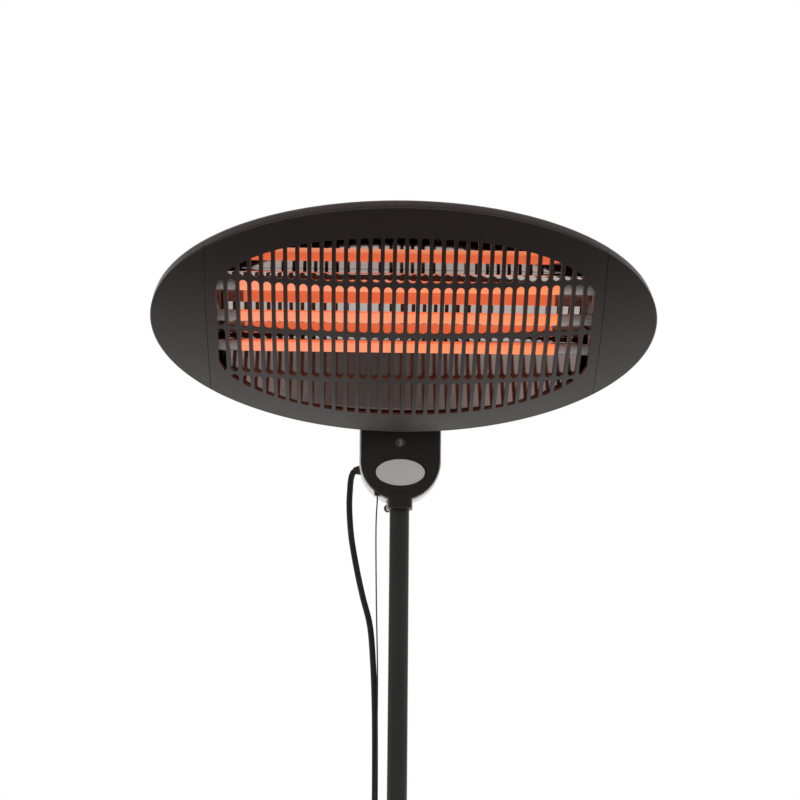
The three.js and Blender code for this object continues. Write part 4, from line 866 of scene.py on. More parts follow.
collar = piece("clamp_body", *turned_form([
    (OVER_TUBE, COLLAR_BOTTOM), (20, COLLAR_BOTTOM), (22, COLLAR_BOTTOM + 3),
    (22, COLLAR_BOTTOM + 12),
    (21.2, COLLAR_BOTTOM + 13), (21.2, COLLAR_BOTTOM + 15), (22, COLLAR_BOTTOM + 16),
    (22, COLLAR_TOP - 8), (17, COLLAR_TOP), (11.5, COLLAR_TOP), (11.5, TUBE_TOP + SLIP),
    (OVER_TUBE, TUBE_TOP + SLIP), (OVER_TUBE, COLLAR_BOTTOM)], 0.9, 84), moulded, "root")
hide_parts("height_clamp_collar")
clamp_screw_place = put(0, 0, COLLAR_TOP - 15, ALONG_X)
piece("clamp_boss", *turned_form([
    (3.4, 16), (9, 16), (9, 26.5), (8, 28), (3.4, 28), (3.4, 16)], 0.7, 48), moulded, "root",
    clamp_screw_place)
EYE_BORE, EYE_LENGTH = 3.75, 30
piece("clamp_eye", *turned_form(
    pipe(EYE_BORE, 5.5, EYE_TOP - EYE_LENGTH, EYE_TOP), 0.8, 36), moulded, "root",
    put(EYE.x, EYE.y, 0))
knob_profile = [(0, 0), (0.5, 0), (0.62, 0.35), (0.97, 0.42), (1, 0.5), (1, 0.9), (0.9, 1), (0, 1)]


def knob(name, radius, length, start, stem, place, body, node):
    """A lobed hand knob, with the radius and the far end of the screw in it, if it has one."""
    form = turned_form([(r * radius, start + z * length) for r, z in knob_profile], 1.4, 96,
                       lambda r, z, a: lobes(r, z, a) if z > start + 0.3 * length else r)
    grip = piece(name, *form, moulded, body, place, crease=50)
    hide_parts(node)
    if stem:
        screw = piece(name + "_screw", *turned_form([
            (0, stem[1]), (stem[0], stem[1]), (stem[0], start + 2), (0, start + 2)], 0.3, 28),
            zinc, body, place)


zinc = finish_material("zinc_plate", (0.55, 0.545, 0.53), 0.32, 1.0)
feed(zinc,
     base_color=zinc.ramp(zinc.noise(180, 4), (0.3, (0.47, 0.465, 0.45)),
                          (0.75, (0.62, 0.61, 0.59))),
     roughness=zinc.spread(zinc.noise(420, 4), 0.26, 0.42, 0.3, 0.7))
foot_screws = rings.grown("foot_screws", "root", count=FEET, spread=FOOT_CIRCLE, bore=0.8 * MM,
                          radius=3.0 * MM, height=2.6 * MM, lift=2.2 * MM, rounding=0.7 * MM,
                          finish=zinc.owner)
knob("height_grip", 16, 19, 28.3, (3, 11.3), clamp_screw_place, "height_knob", "height_clamp_knob")

CLIP_HEIGHT, CLIP_WALL = 11, 2
for i, low in enumerate((880.0, 260.0)):
    band = piece(f"clip_band_{i + 1}", *turned_form(
        pipe(OVER_TUBE, OVER_TUBE + CLIP_WALL, low, low + CLIP_HEIGHT), 0.6, 64), moulded, "root")
    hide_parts(f"cable_clip_{i + 1}")
    loop = piece(f"clip_loop_{i + 1}", *turned_form(
        pipe(EYE_BORE, 5.3, low, low + CLIP_HEIGHT), 0.6, 36), moulded, "root",
        put(CLIP.x, CLIP.y, 0))


# ------------------------------------------------------------------ inner tube
# The inner tube is drawn with a shallow groove down its back, in which the key of the nylon
# bush runs, so that the head can't swivel.

INNER_BORE, INNER_RADIUS, INNER_BOTTOM, INNER_TOP = 9.5, 11.0, 1030.0, HUB_TOP - 18
GROOVE_DEPTH, GROOVE_HALF_ANGLE = 1.3, 0.22


def grooved(radius, z, angle):
    """The tube's radius at an angle, lower in the groove at its back."""
    away = abs(angle - math.pi / 2)
    return radius - GROOVE_DEPTH * max(0.0, 1 - (away / GROOVE_HALF_ANGLE) ** 2)


inner = piece("inner_tube", *turned_form(
    pipe(INNER_BORE, INNER_RADIUS, INNER_BOTTOM, INNER_TOP), 0.4, 96, grooved), gloss, "mast")
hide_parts("upper_tube")


# ------------------------------------------------------------------ hub
# Two mouldings close round the top of the pole: a black front cover and a silver rear shell
# that stands a little proud of it, so that a light edge shows round the black.

HUB_CORNER, HUB_WALL, HUB_SEAM, HUB_FRONT, HUB_BACK = 24.0, 2.5, -18.0, -26.0, 26.0
COVER_PROUD, COVER_ROUND, SHELL_PROUD, SHELL_ROUND = 0.4, 1.1, 2.0, 7.0
CORNER_X, CORNER_Z = HUB_RADIUS - HUB_CORNER, HUB_TOP - HUB_CORNER
NECK_BOTTOM, NECK_TOP, NECK_BORE = HUB_BOTTOM - 9.4, HUB_BOTTOM + 7.5, 11.3
NECK_HALF, NECK_DEEP, NECK_SQUARE, NECK_BACK = 13.6, 26.9, 0.3, 14.6


def neck_side(angle, power, wave):
    """A cosine or sine flattened toward a rounded square."""
    return math.copysign(abs(wave(angle)) ** power, wave(angle))


def hub_outline(inset):
    """Points [x, z] round the hub seen from the front, anticlockwise from the left."""
    points = []
    for centre_x, centre_z, radius, start, end, steps in (
            (0, hub_floor, HUB_RADIUS, 180, 360, 64), (CORNER_X, CORNER_Z, HUB_CORNER, 0, 90, 16),
            (-CORNER_X, CORNER_Z, HUB_CORNER, 90, 180, 16)):
        for i in range(steps + 1):
            angle = math.radians(start + (end - start) * i / steps)
            points.append((centre_x + (radius - inset) * math.cos(angle),
                           centre_z + (radius - inset) * math.sin(angle)))
    return points


def stacked(rings):
    """Points and faces of a closed skin through rings with the same number of points."""
    count = len(rings[0])
    faces = bands(len(rings), count)
    faces.append(tuple(range(count)))
    faces.append(tuple(range((len(rings) - 1) * count, len(rings) * count)))
    return [p for ring in rings for p in ring], faces


def hub_ring(inset, y):
    """The hub's outline at a depth, drawn in by an inset."""
    return [(x, y, z) for x, z in hub_outline(inset)]


def edge_rings(start, end, steps=6):
    """Rings round the edge of a hub half, from the inset and depth of its face to its side's."""
    (inset0, y0), (inset1, y1) = start, end
    return [hub_ring(inset0 + (inset1 - inset0) * math.sin(t), y0 + (y1 - y0) * (1 - math.cos(t)))
            for t in (math.pi / 2 * i / steps for i in range(steps + 1))]


def cut_out(target, form, place):
    """Takes a form away from a piece with an exact boolean, then drops the tool."""
    points, faces = form
    mesh = bpy.data.meshes.new("tool")
    mesh.from_pydata([place @ Vector(p) for p in points], [], faces)
    work = bmesh.new()
    work.from_mesh(mesh)
    bmesh.ops.recalc_face_normals(work, faces=work.faces)
    work.to_mesh(mesh)
    work.free()
    tool = in_scene("tool", mesh)
    cutter = target.modifiers.new("cut", "BOOLEAN")
    cutter.object = tool
    cutter.solver = "EXACT"
    result = as_mesh(target)
    target.modifiers.remove(cutter)
    old = target.data
    target.data = result
    bpy.data.meshes.remove(old)
    bpy.data.objects.remove(tool)
    bpy.data.meshes.remove(mesh)
    smooth(target.data, CUT_CREASE)


def plain_rod(radius, low, high):
    """A rod with sharp ends, to cut a round hole."""
    return turned_form([(0, low), (radius, low), (radius, high), (0, high)], 0.0, 64)


front_rings = edge_rings((COVER_ROUND - COVER_PROUD, HUB_FRONT),
                         (-COVER_PROUD, HUB_FRONT + COVER_ROUND))
front_rings += [
    hub_ring(-COVER_PROUD, HUB_SEAM - 0.5), hub_ring(0.5 - COVER_PROUD, HUB_SEAM),
    hub_ring(HUB_WALL, HUB_SEAM), hub_ring(HUB_WALL, HUB_FRONT + 4.5),
    hub_ring(4.5, HUB_FRONT + HUB_WALL)]
hub_front = piece("hub_cover", *stacked(front_rings), moulded, "mast")
WINDOW_RADIUS, WINDOW_Z = 5.4, HUB_BOTTOM + 63
cut_out(hub_front, plain_rod(WINDOW_RADIUS + 0.3, -1, 10), put(0, HUB_FRONT, WINDOW_Z, ALONG_Y))

# The hole for the neck is a rounded square in front and round behind.
NECK_GAP, NECK_SIDES = 0.15, 48
neck_plan = []
for i in range(NECK_SIDES):
    a = 2 * math.pi * i / NECK_SIDES
    if i <= NECK_SIDES / 2:
        neck_plan.append(((NECK_BACK + NECK_GAP) * math.cos(a),
                          (NECK_BACK + NECK_GAP) * math.sin(a)))
    else:
        neck_plan.append(((NECK_HALF + NECK_GAP) * neck_side(a, NECK_SQUARE, math.cos),
                          (NECK_DEEP + NECK_GAP) * neck_side(a, NECK_SQUARE, math.sin)))
neck_hole = stacked([
    [(x, y, z) for x, y in neck_plan] for z in (HUB_BOTTOM - 5, NECK_TOP + NECK_GAP)])
cut_out(hub_front, neck_hole, put())
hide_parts("hub_front_cover")

silver = finish_material("silver_coat", (0.78, 0.77, 0.765), 0.36, 0.1)
flake = silver.noise(1600, 2)
feed(silver,
     base_color=silver.ramp(flake, (0.35, (0.74, 0.73, 0.725)), (0.7, (0.83, 0.82, 0.81))),
     roughness=silver.spread(silver.noise(80, 4), 0.28, 0.42, 0.3, 0.7))
rear_rings = edge_rings((SHELL_ROUND - SHELL_PROUD, HUB_BACK),
                        (-SHELL_PROUD, HUB_BACK - SHELL_ROUND))
rear_rings += [
    hub_ring(-SHELL_PROUD, HUB_SEAM + 0.9), hub_ring(0.5 - SHELL_PROUD, HUB_SEAM + 0.3),
    hub_ring(HUB_WALL, HUB_SEAM + 0.3), hub_ring(HUB_WALL, HUB_BACK - SHELL_ROUND),
    hub_ring(7.5, HUB_BACK - HUB_WALL)]
hub_rear = piece("hub_shell", *stacked(rear_rings), silver, "mast")
cut_out(hub_rear, neck_hole, put())
cut_out(hub_rear, plain_rod(INNER_RADIUS + 0.5, HUB_TOP - 10, HUB_TOP + 5), put())
cut_out(hub_rear, plain_rod(GLAND_RADIUS + 0.2, -HUB_RADIUS - 8, -HUB_RADIUS + 8),
        put(0, 0, GLAND_Z, ALONG_X))
cut_out(hub_rear, plain_rod(3.7, HUB_BOTTOM - 10, hub_floor - 20), put(STRING_X, STRING_Y, 0))
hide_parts("hub_rear_shell")


# ------------------------------------------------------------------ badge
# An oval plate of satin aluminium with a rolled edge, left bare. It is glued to the front of
# the hub.

BADGE_A, BADGE_B, BADGE_Z, BADGE_DEPTH = 27.0, 14.6, HUB_BOTTOM + 30, 1.4


BADGE_SIDES = 96


def oval(a, b, y, centre_z):
    """An upright oval's points, from its half width and half height."""
    turns = (2 * math.pi * i / BADGE_SIDES for i in range(BADGE_SIDES))
    return [(a * math.cos(t), y, centre_z + b * math.sin(t)) for t in turns]


satin = finish_material("satin_plate", (0.47, 0.45, 0.45), 0.42, 0.1)
lines = satin.noise(1.0, 3.0, satin.place(scale=(20.0, 1.0, 900.0)))
feed(satin, base_color=satin.ramp(lines, (0.3, (0.45, 0.43, 0.43)), (0.7, (0.49, 0.47, 0.47))),
     roughness=satin.spread(lines, 0.38, 0.48, 0.3, 0.7))
seat = HUB_FRONT - 0.3
badge_edge = ((0, 0), (0, 0.9), (0.25, 1.25), (0.7, BADGE_DEPTH), (1.5, BADGE_DEPTH),
              (1.8, BADGE_DEPTH - 0.25))
badge = piece("badge_oval", *stacked([
    oval(BADGE_A - inset, BADGE_B - inset, seat - depth, BADGE_Z) for inset, depth in badge_edge]),
    satin, "mast")
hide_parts("badge_plate")


# ------------------------------------------------------------------ level window and dial
# A clear lens, pressed into the cover, shows the number of the heat level. The numbers stand
# on a dial behind it, which the pull switch turns.

lens = finish_material("clear_lens", (0.12, 0.118, 0.118), 0.4,
                       constants=[("Alpha", 0.06), ("Specular IOR Level", 0.2)])
feed(lens, roughness=lens.spread(lens.noise(300), 0.35, 0.45, 0.3, 0.7))
window = piece("window_lens", *turned_form([
    (0, 0), (3.5, 0), (WINDOW_RADIUS - 0.5, 0.15), (WINDOW_RADIUS, 0.6), (WINDOW_RADIUS, 2),
    (0, 2)], 0.3, 64), lens, "mast", put(0, HUB_FRONT - 0.4, WINDOW_Z, ALONG_Y))
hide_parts("level_window")

DIAL_X, DIAL_RADIUS, DIAL_BACK, DIAL_THICK = -14.5, 20.5, -21.3, 1.8
NUMERAL_SIZE, NUMERAL_HALF_RISE = 7.6, 0.08
dial_card = finish_material("dial_face", (0.115, 0.103, 0.102), 0.55)
feed(dial_card, roughness=dial_card.spread(dial_card.noise(500), 0.48, 0.62, 0.3, 0.7))
dial = piece("dial_disc", *turned_form(pipe(2.3, DIAL_RADIUS, -DIAL_THICK, 0), 0.3, 96), dial_card,
             "dial", put(DIAL_X, DIAL_BACK, WINDOW_Z, ALONG_Y))
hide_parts("level_dial")
numeral_ink = finish_material("numeral_ink", (0.45, 0.43, 0.43), 0.6)
feed(numeral_ink, base_color=numeral_ink.ramp(
    numeral_ink.noise(2500), (0.3, (0.43, 0.41, 0.41)), (0.7, (0.49, 0.47, 0.47))))
for i, numeral in enumerate(("3", "0", "1", "2")):
    text = bpy.data.curves.new(f"numeral_{numeral}", "FONT")
    text.body = numeral
    text.size = NUMERAL_SIZE * MM
    text.align_x, text.align_y = "CENTER", "CENTER"
    text.extrude = NUMERAL_HALF_RISE * MM
    writing = in_scene(f"numeral_{numeral}", text)
    mesh = as_mesh(writing)
    bpy.data.objects.remove(writing)
    spin = Matrix.Rotation(math.radians(90 * i), 4, "Y")
    dial_front = Matrix.Translation(
        Vector((DIAL_X, DIAL_BACK - DIAL_THICK - 0.15, WINDOW_Z)) * MM)
    mesh.transform(dial_front @ spin @ Matrix.Translation((-DIAL_X * MM, 0, 0))
                   @ Matrix.Rotation(math.radians(90), 4, "X"))
    coat(mesh, numeral_ink)
    mark = in_scene(f"dial_numeral_{numeral}", mesh)
    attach(mark, "dial")


# ------------------------------------------------------------------ inside the hub
# The pull switch with its plunger, the terminal block and the tip-over switch are moulded in
# phenolic and natural nylon. They keep the shapes of their solids.

phenolic = finish_material("phenolic", (0.05, 0.045, 0.04), 0.5)
feed(phenolic, base_color=phenolic.ramp(
    phenolic.noise(90, 4), (0.3, (0.04, 0.035, 0.03)), (0.7, (0.06, 0.052, 0.046))))
natural = finish_material("natural_nylon", (0.70, 0.69, 0.64), 0.5)
feed(natural,
     base_color=natural.ramp(natural.noise(120, 3), (0.3, (0.64, 0.63, 0.58)),
                             (0.7, (0.74, 0.73, 0.69))),
     roughness=natural.spread(natural.noise(300), 0.42, 0.58, 0.3, 0.7))


def refinish(finish, *nodes):
    """Gives CAD solids that stay in view a finish of their own."""
    for node in nodes:
        coat(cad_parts[node].data, finish)


refinish(phenolic, "pull_switch")
refinish(natural, "terminal_block", "pull_plunger", "slide_bush",
         "tilt_washer_left", "tilt_washer_right")
refinish(zinc, "tip_over_switch", "tube_coupler", "base_bolt", "stop_pin")
refinish(ballast, "base_weight")


# ------------------------------------------------------------------ neck
# The two halves of the hub run down into a short neck round the pole: black in front, silver
# behind. A small knurled screw at the back of the neck locks the hub on the pole.


def half_neck(across, deep, top, square, start, end, steps=36):
    """Points and faces of half the neck; its rings go round the wall, and none is its bore."""
    rings = []
    for z, grow in ((top - 0.8, 0), (NECK_BOTTOM + 0.8, 0), (NECK_BOTTOM, -0.8),
                    (NECK_BOTTOM, None), (top, None), (top, -0.8)):
        half, depth = (NECK_BORE, NECK_BORE) if grow is None else (across + grow, deep + grow)
        power = 1.0 if grow is None else square
        angles = (start + (end - start) * i / steps for i in range(steps + 1))
        rings.append([(half * neck_side(a, power, math.cos),
                       depth * neck_side(a, power, math.sin), z) for a in angles])
    points = [p for ring in rings for p in ring]
    count = steps + 1
    faces = []
    for r in range(len(rings)):
        for i in range(steps):
            n = (r + 1) % len(rings)
            faces.append((r * count + i, r * count + i + 1, n * count + i + 1, n * count + i))
    faces.append(tuple(r * count for r in range(len(rings))))
    faces.append(tuple(r * count + steps for r in range(len(rings))))
    return points, faces


neck_front = piece("neck_front", *half_neck(
    NECK_HALF, NECK_DEEP, NECK_TOP, NECK_SQUARE, math.radians(182), math.radians(358)),
    moulded, "mast")
neck_rear = piece("neck_rear", *half_neck(
    NECK_BACK, NECK_BACK, HUB_BOTTOM + 4, 1.0, 0.0, math.pi), silver, "mast")
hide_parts("neck_collar")

LOCK_Z = HUB_BOTTOM - 5.8
lock_turn = Vector((0, 0, 1)).rotation_difference(Vector((-0.6, 0.8, 0))).to_matrix().to_4x4()


def knurled(radius, z, angle):
    """Eighteen shallow flutes round the head of the screw, and none on its stem."""
    return radius * (1 - 0.05 * (math.sin(18 * angle) > 0)) if z > 14.5 else radius


lock = piece("lock_screw", *turned_form([
    (0, NECK_BORE), (2, NECK_BORE), (2, 13.7), (3.5, 13.7), (4.5, 15.2), (4.5, 22.7), (3.5, 23.7),
    (0, 23.7)], 0.4, 72, knurled), moulded, "neck_knob", put(0, 0, LOCK_Z, lock_turn))
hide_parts("neck_lock_knob")

BOX_FACES = [(0, 1, 3, 2), (4, 5, 7, 6), (0, 1, 5, 4), (2, 3, 7, 6), (0, 2, 6, 4), (1, 3, 7, 5)]
for i, x in enumerate((-30.0, 30.0)):
    screw_place = put(x, HUB_BACK + 0.3, HUB_TOP - 24, ALONG_Y)
    screw = piece(f"shell_screw_{i + 1}", *turned_form([
        (0, -10), (1.8, -10), (1.8, 0), (4, 0), (4, 1.2), (3.2, 2.1), (1.8, 2.4), (0, 2.4)],
        0.3, 40), zinc, "mast", screw_place)
    for turn in (0, 90):
        slot_place = screw_place @ Matrix.Rotation(math.radians(turn), 4, "Z")
        box = [(x0, y0, z0) for z0 in (1.2, 3.5) for y0 in (-0.45, 0.45) for x0 in (-2.1, 2.1)]
        cut_out(screw, (box, BOX_FACES), slot_place)
    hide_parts(f"hub_screw_{i + 1}")


# ------------------------------------------------------------------ tilt joint
# A cast block on the pole carries the head. Two ears of the head's bracket close on it over
# nylon washers, and a bolt with a hand knob clamps them.


def ease_edges(made, width, sharper_than):
    """Rounds the edges of a piece that turn by more than an angle in degrees."""
    ease = made.modifiers.new("ease", "BEVEL")
    ease.width = width * MM
    ease.segments = 2
    ease.limit_method = "ANGLE"
    ease.angle_limit = math.radians(sharper_than)
    ease.harden_normals = True


def dress(node, finish, bevel, body, name):
    """A copy of a solid with its edges eased, which stands for it."""
    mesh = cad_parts[node].data.copy()
    mesh.name = name
    work = bmesh.new()
    work.from_mesh(mesh)
    bmesh.ops.remove_doubles(work, verts=work.verts, dist=2e-6)
    bmesh.ops.dissolve_limit(work, angle_limit=math.radians(1), verts=work.verts, edges=work.edges)
    work.to_mesh(mesh)
    work.free()
    coat(mesh, finish)
    mesh.shade_smooth()
    made = in_scene(name, mesh)
    ease_edges(made, bevel, 35)
    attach(made, body)
    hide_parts(node)
    return made


dress("pivot_block", zinc, 0.6, "mast", "pivot_casting")
dress("tilt_bracket", powder, 0.6, "head", "head_bracket")
dress("tilt_bolt", zinc, 0.4, "head", "pivot_bolt")
for _, word in SIDES:
    dress(f"tube_bracket_{word}", zinc, 0.3, "head", f"holder_plate_{word}")

HEAD_TURN = math.radians(90) + math.radians(43)
HEAD = Matrix.Translation(HEAD_CENTRE) @ Matrix.Rotation(HEAD_TURN, 4, "X") @ MILLIMETRES
PIVOT_Y, PIVOT_Z = -5.0, 1810.0
knob("tilt_grip_knob", 17, 22, 19.5, None, put(0, PIVOT_Y, PIVOT_Z, ALONG_X), "tilt_grip",
     "tilt_knob")


# ------------------------------------------------------------------ front of the head
# The face is pressed from aluminium sheet into a shallow dome: a centre panel with four rows
# of slots whose outer ends follow an oval, and a plain cap at each end.

RIM_A, RIM_B, RIM_LIP, RIM_ROUND, DOME, BOW, SHEET = 265.0, 135.0, 9.3, 2.0, 29.0, 5.3, 3.0
SEAM, SEAM_GAP = 205.0, 0.25
PITCH, HALF_SLOT, ROW, HALF_BAR = 12.27, 4.1, 57.2, 2.0
FIELD_A, FIELD_B, POWER = SEAM + 8, 105.5, 2.3
COLUMNS, CROWN_ROUND, INNER_CROWN_ROUND = 16, 0.6, 0.8
OUTER_CUT, OUTER_SLANT = 187.0, 0.9
BORDER_STEPS, ROUND_STEPS = 6, 5
LIP_EDGE = ((0.0, -5.0), (0.0, -RIM_LIP + 1.2), (0.8, -RIM_LIP))


def dome(x, y):
    """Height of the front over the plane of its two ends; its long edges bow forward."""
    return DOME * (1 - (x / RIM_A) ** 2) - (DOME - BOW) * (y / RIM_B) ** 2


def bow(x):
    """Height of the long edges of the front over its two ends."""
    return BOW * (1 - (x / RIM_A) ** 2)


def rim_height(x, inset=0.0):
    """Half the height of the head's oval at a distance from its middle."""
    return (RIM_B - inset) * math.sqrt(max(0.0, 1 - (x / (RIM_A - inset)) ** 2))


def field(x):
    """Where the slots end above and below the middle, on a rounder oval than the rim's."""
    share = min(1.0, abs(x) / FIELD_A)
    return FIELD_B * (1 - share ** POWER) ** (1 / POWER)


class Patch:
    """Collects the faces of the front, in which neighbours share their edge points."""

    def __init__(self):
        self.points, self.faces = [], []

    def add(self, points):
        """Takes points in and says where they start."""
        start = len(self.points)
        self.points.extend(points)
        return start

    def grid(self, rows):
        """Faces between rows with the same number of points."""
        width = len(rows[0])
        start = self.add([p for row in rows for p in row])
        for r in range(len(rows) - 1):
            for i in range(width - 1):
                a = start + r * width + i
                self.faces.append((a, a + 1, a + width + 1, a + width))

    def ring(self, outer, inner):
        """Faces between an outline and the hole in it."""
        count = len(outer)
        start = self.add(outer + inner)
        for i in range(count):
            n = (i + 1) % count
            self.faces.append((start + i, start + n, start + count + n, start + count + i))


CELL_SIDE, CELL_END = 10, 8


def cell_outline(xl, xr, low, high):
    """Round a cell: up its left side, along its top, down its right side and back."""
    sides = [i / CELL_SIDE for i in range(CELL_SIDE + 1)]
    tops = [xl + (xr - xl) * j / CELL_END for j in range(1, CELL_END)]
    outline = [(xl, low(xl) + (high(xl) - low(xl)) * t) for t in sides]
    outline += [(x, high(x)) for x in tops]
    outline += [(xr, high(xr) + (low(xr) - high(xr)) * t) for t in sides]
    outline += [(x, low(x)) for x in reversed(tops)]
    return outline


def slot_outline(centre, low, high, outer_row):
    """The slot in a cell, matched point for point with the cell's outline."""
    left, right = centre - HALF_SLOT, centre + HALF_SLOT
    ends = [math.pi * j / CELL_END for j in range(CELL_END + 1)]
    bottom = [(centre - HALF_SLOT * math.cos(t), low + HALF_SLOT - HALF_SLOT * math.sin(t))
              for t in ends]
    crown = []
    for t in ends:
        x = centre - HALF_SLOT * math.cos(t)
        corner = abs(math.cos(t)) ** 6
        if outer_row:
            crown.append((x, field(x) - CROWN_ROUND * corner))
        else:
            slant = OUTER_SLANT * max(0.0, abs(x) - OUTER_CUT)
            crown.append((x, min(high - HALF_SLOT + HALF_SLOT * math.sin(t),
                                 field(x) - INNER_CROWN_ROUND * corner - slant)))
    sides = [i / CELL_SIDE for i in range(CELL_SIDE + 1)]
    outline = [(left, bottom[0][1] + (crown[0][1] - bottom[0][1]) * t) for t in sides]
    outline += crown[1:-1]
    outline += [(right, crown[-1][1] + (bottom[-1][1] - crown[-1][1]) * t) for t in sides]
    outline += list(reversed(bottom[1:-1]))
    return outline


def row_limit(x):
    """Where the outer row of cells gives way to the plain border."""
    return max(field(x) + 3.0, ROW + 7.0)


panel = Patch()
columns = [(k * PITCH, (k + 1) * PITCH) for k in range(-COLUMNS, COLUMNS)]
panel_end = SEAM - SEAM_GAP
strips = [(-panel_end, columns[0][0], False), *[(a, b, True) for a, b in columns],
          (columns[-1][1], panel_end, False)]
for sign in (-1, 1):
    for xl, xr, slotted in strips:
        xs = [xl + (xr - xl) * j / CELL_END for j in range(CELL_END + 1)]
        for low, high, outer_row in (
                (lambda x: 0.0, lambda x: ROW, False), (lambda x: ROW, row_limit, True)):
            outline = cell_outline(xl, xr, low, high)
            centre = (xl + xr) / 2
            top_left = min(field(centre - HALF_SLOT), field(centre + HALF_SLOT))
            holds = slotted and (not outer_row or top_left > ROW + HALF_BAR + 3.0)
            if holds:
                hole = slot_outline(
                    centre, (ROW if outer_row else 0) + HALF_BAR, ROW - HALF_BAR, outer_row)
                panel.ring([(x, sign * y, dome(x, y)) for x, y in outline],
                           [(x, sign * y, dome(x, y)) for x, y in hole])
            else:
                rows = []
                for i in range(CELL_SIDE + 1):
                    t = i / CELL_SIDE
                    rows.append([(x, sign * (low(x) + (high(x) - low(x)) * t),
                                  dome(x, low(x) + (high(x) - low(x)) * t)) for x in xs])
                panel.grid(rows)
        rows = []
        for i in range(BORDER_STEPS + 1):
            t = i / BORDER_STEPS
            ys = [row_limit(x) + (rim_height(x, RIM_ROUND) - row_limit(x)) * t for x in xs]
            rows.append([(x, sign * y, dome(x, y)) for x, y in zip(xs, ys)])
        for i in range(1, ROUND_STEPS + 1):
            t = math.pi / 2 * i / ROUND_STEPS
            row = []
            for x in xs:
                inset = RIM_ROUND * (1 - math.sin(t))
                crest = dome(x, rim_height(x, RIM_ROUND)) - bow(x)
                row.append((x, sign * rim_height(x, inset),
                            bow(x) - RIM_ROUND + (RIM_ROUND + crest) * math.cos(t)))
            rows.append(row)
        for inset, z in LIP_EDGE:
            rows.append([(x, sign * rim_height(x, inset), bow(x) + z) for x in xs])
        panel.grid(rows)


def skin_piece(name, patch, thickness, finish, node, ease=0.42, merge=0.02):
    """A sheet of the head with a thickness and eased edges, from one side of it."""
    made = piece(name, patch.points, patch.faces, finish, "head", HEAD, crease=0, merge=merge)
    wall = made.modifiers.new("wall", "SOLIDIFY")
    wall.thickness = thickness * MM
    wall.offset = -1
    wall.use_even_offset = True
    if ease:
        ease_edges(made, ease, 50)
    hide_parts(node)


def face_outward(patch, towards=lambda p: Vector((0, 0, 1))):
    """Turns the faces of an open sheet so that they look the way a point's direction says."""
    for i, loop in enumerate(patch.faces):
        corners = [Vector(patch.points[k]) for k in loop]
        normal = Vector((0, 0, 0))
        for a, b in zip(corners, corners[1:] + corners[:1]):
            normal += a.cross(b)
        middle = sum(corners, Vector((0, 0, 0))) / len(corners)
        if normal.dot(towards(middle)) < 0:
            patch.faces[i] = tuple(reversed(loop))


def from_middle(p):
    """Away from the middle of the head, and forward on its face."""
    return Vector((p.x / RIM_A ** 2, p.y / RIM_B ** 2, 0.004 if p.z > -2 else 0.0))


head_coat = finish_material("head_coat", (0.012, 0.0076, 0.0072), 0.34,
                            constants=[("Coat Weight", 0.7), ("Coat Roughness", 0.3)])
peel = head_coat.noise(1300, 2)
feed(head_coat,
     base_color=head_coat.ramp(head_coat.noise(6, 3), (0.3, (0.0108, 0.0066, 0.0062)),
                               (0.75, (0.0132, 0.0084, 0.008))),
     roughness=head_coat.spread(head_coat.noise(70, 4), 0.30, 0.40, 0.3, 0.7),
     normal=head_coat.bump(peel, 0.00005, 0.4))
face_outward(panel, from_middle)
skin_piece("slotted_face", panel, SHEET, head_coat, "front_grille")

# A cap is built in arcs, from its lip over its rounded edge and across its face.
CAP_START, CAP_ARCS, HALF_ARC = SEAM + SEAM_GAP, 16, 32
cap_arcs = [(inset, "lip", z) for inset, z in reversed(LIP_EDGE)]
for i in range(ROUND_STEPS, 0, -1):
    t = math.pi / 2 * i / ROUND_STEPS
    cap_arcs.append((RIM_ROUND * (1 - math.sin(t)), "round", math.cos(t)))
cap_width = RIM_A - CAP_START
for i in range(CAP_ARCS + 1):
    cap_arcs.append((RIM_ROUND + (cap_width - RIM_ROUND - 0.02) * i / CAP_ARCS, "face", 0.0))
for side, word in SIDES:
    cap = Patch()
    rows = []
    for inset, kind, rise in cap_arcs:
        a, b = RIM_A - inset, RIM_B - inset
        widest = math.acos(min(1.0, CAP_START / a))
        row = []
        for j in range(2 * HALF_ARC + 1):
            angle = widest * (j / HALF_ARC - 1)
            x, y = a * math.cos(angle), b * math.sin(angle)
            if kind == "face":
                z = dome(x, y)
            elif kind == "round":
                inner_x = (RIM_A - RIM_ROUND) * math.cos(angle)
                crest = dome(inner_x, (RIM_B - RIM_ROUND) * math.sin(angle)) - bow(inner_x)
                z = bow(x) - RIM_ROUND + (RIM_ROUND + crest) * rise
            else:
                z = bow(x) + rise
            row.append((side * x, y, z))
        rows.append(row)
    cap.grid(rows)
    face_outward(cap, from_middle)
    skin_piece(f"face_cap_{word}", cap, SHEET, head_coat, f"end_cap_{word}")


# ------------------------------------------------------------------ back of the head
# A deep drawn pan closes the head from behind, with two rows of vents on each side of the
# bracket. Its edge fits inside the lip of the front.

PAN_DEPTH, PAN_FLAT_A, PAN_FLAT_B, PAN_SHEET = 62.0, 185.5, 69.7, 2.0
PAN_EDGE = -RIM_LIP - 0.3
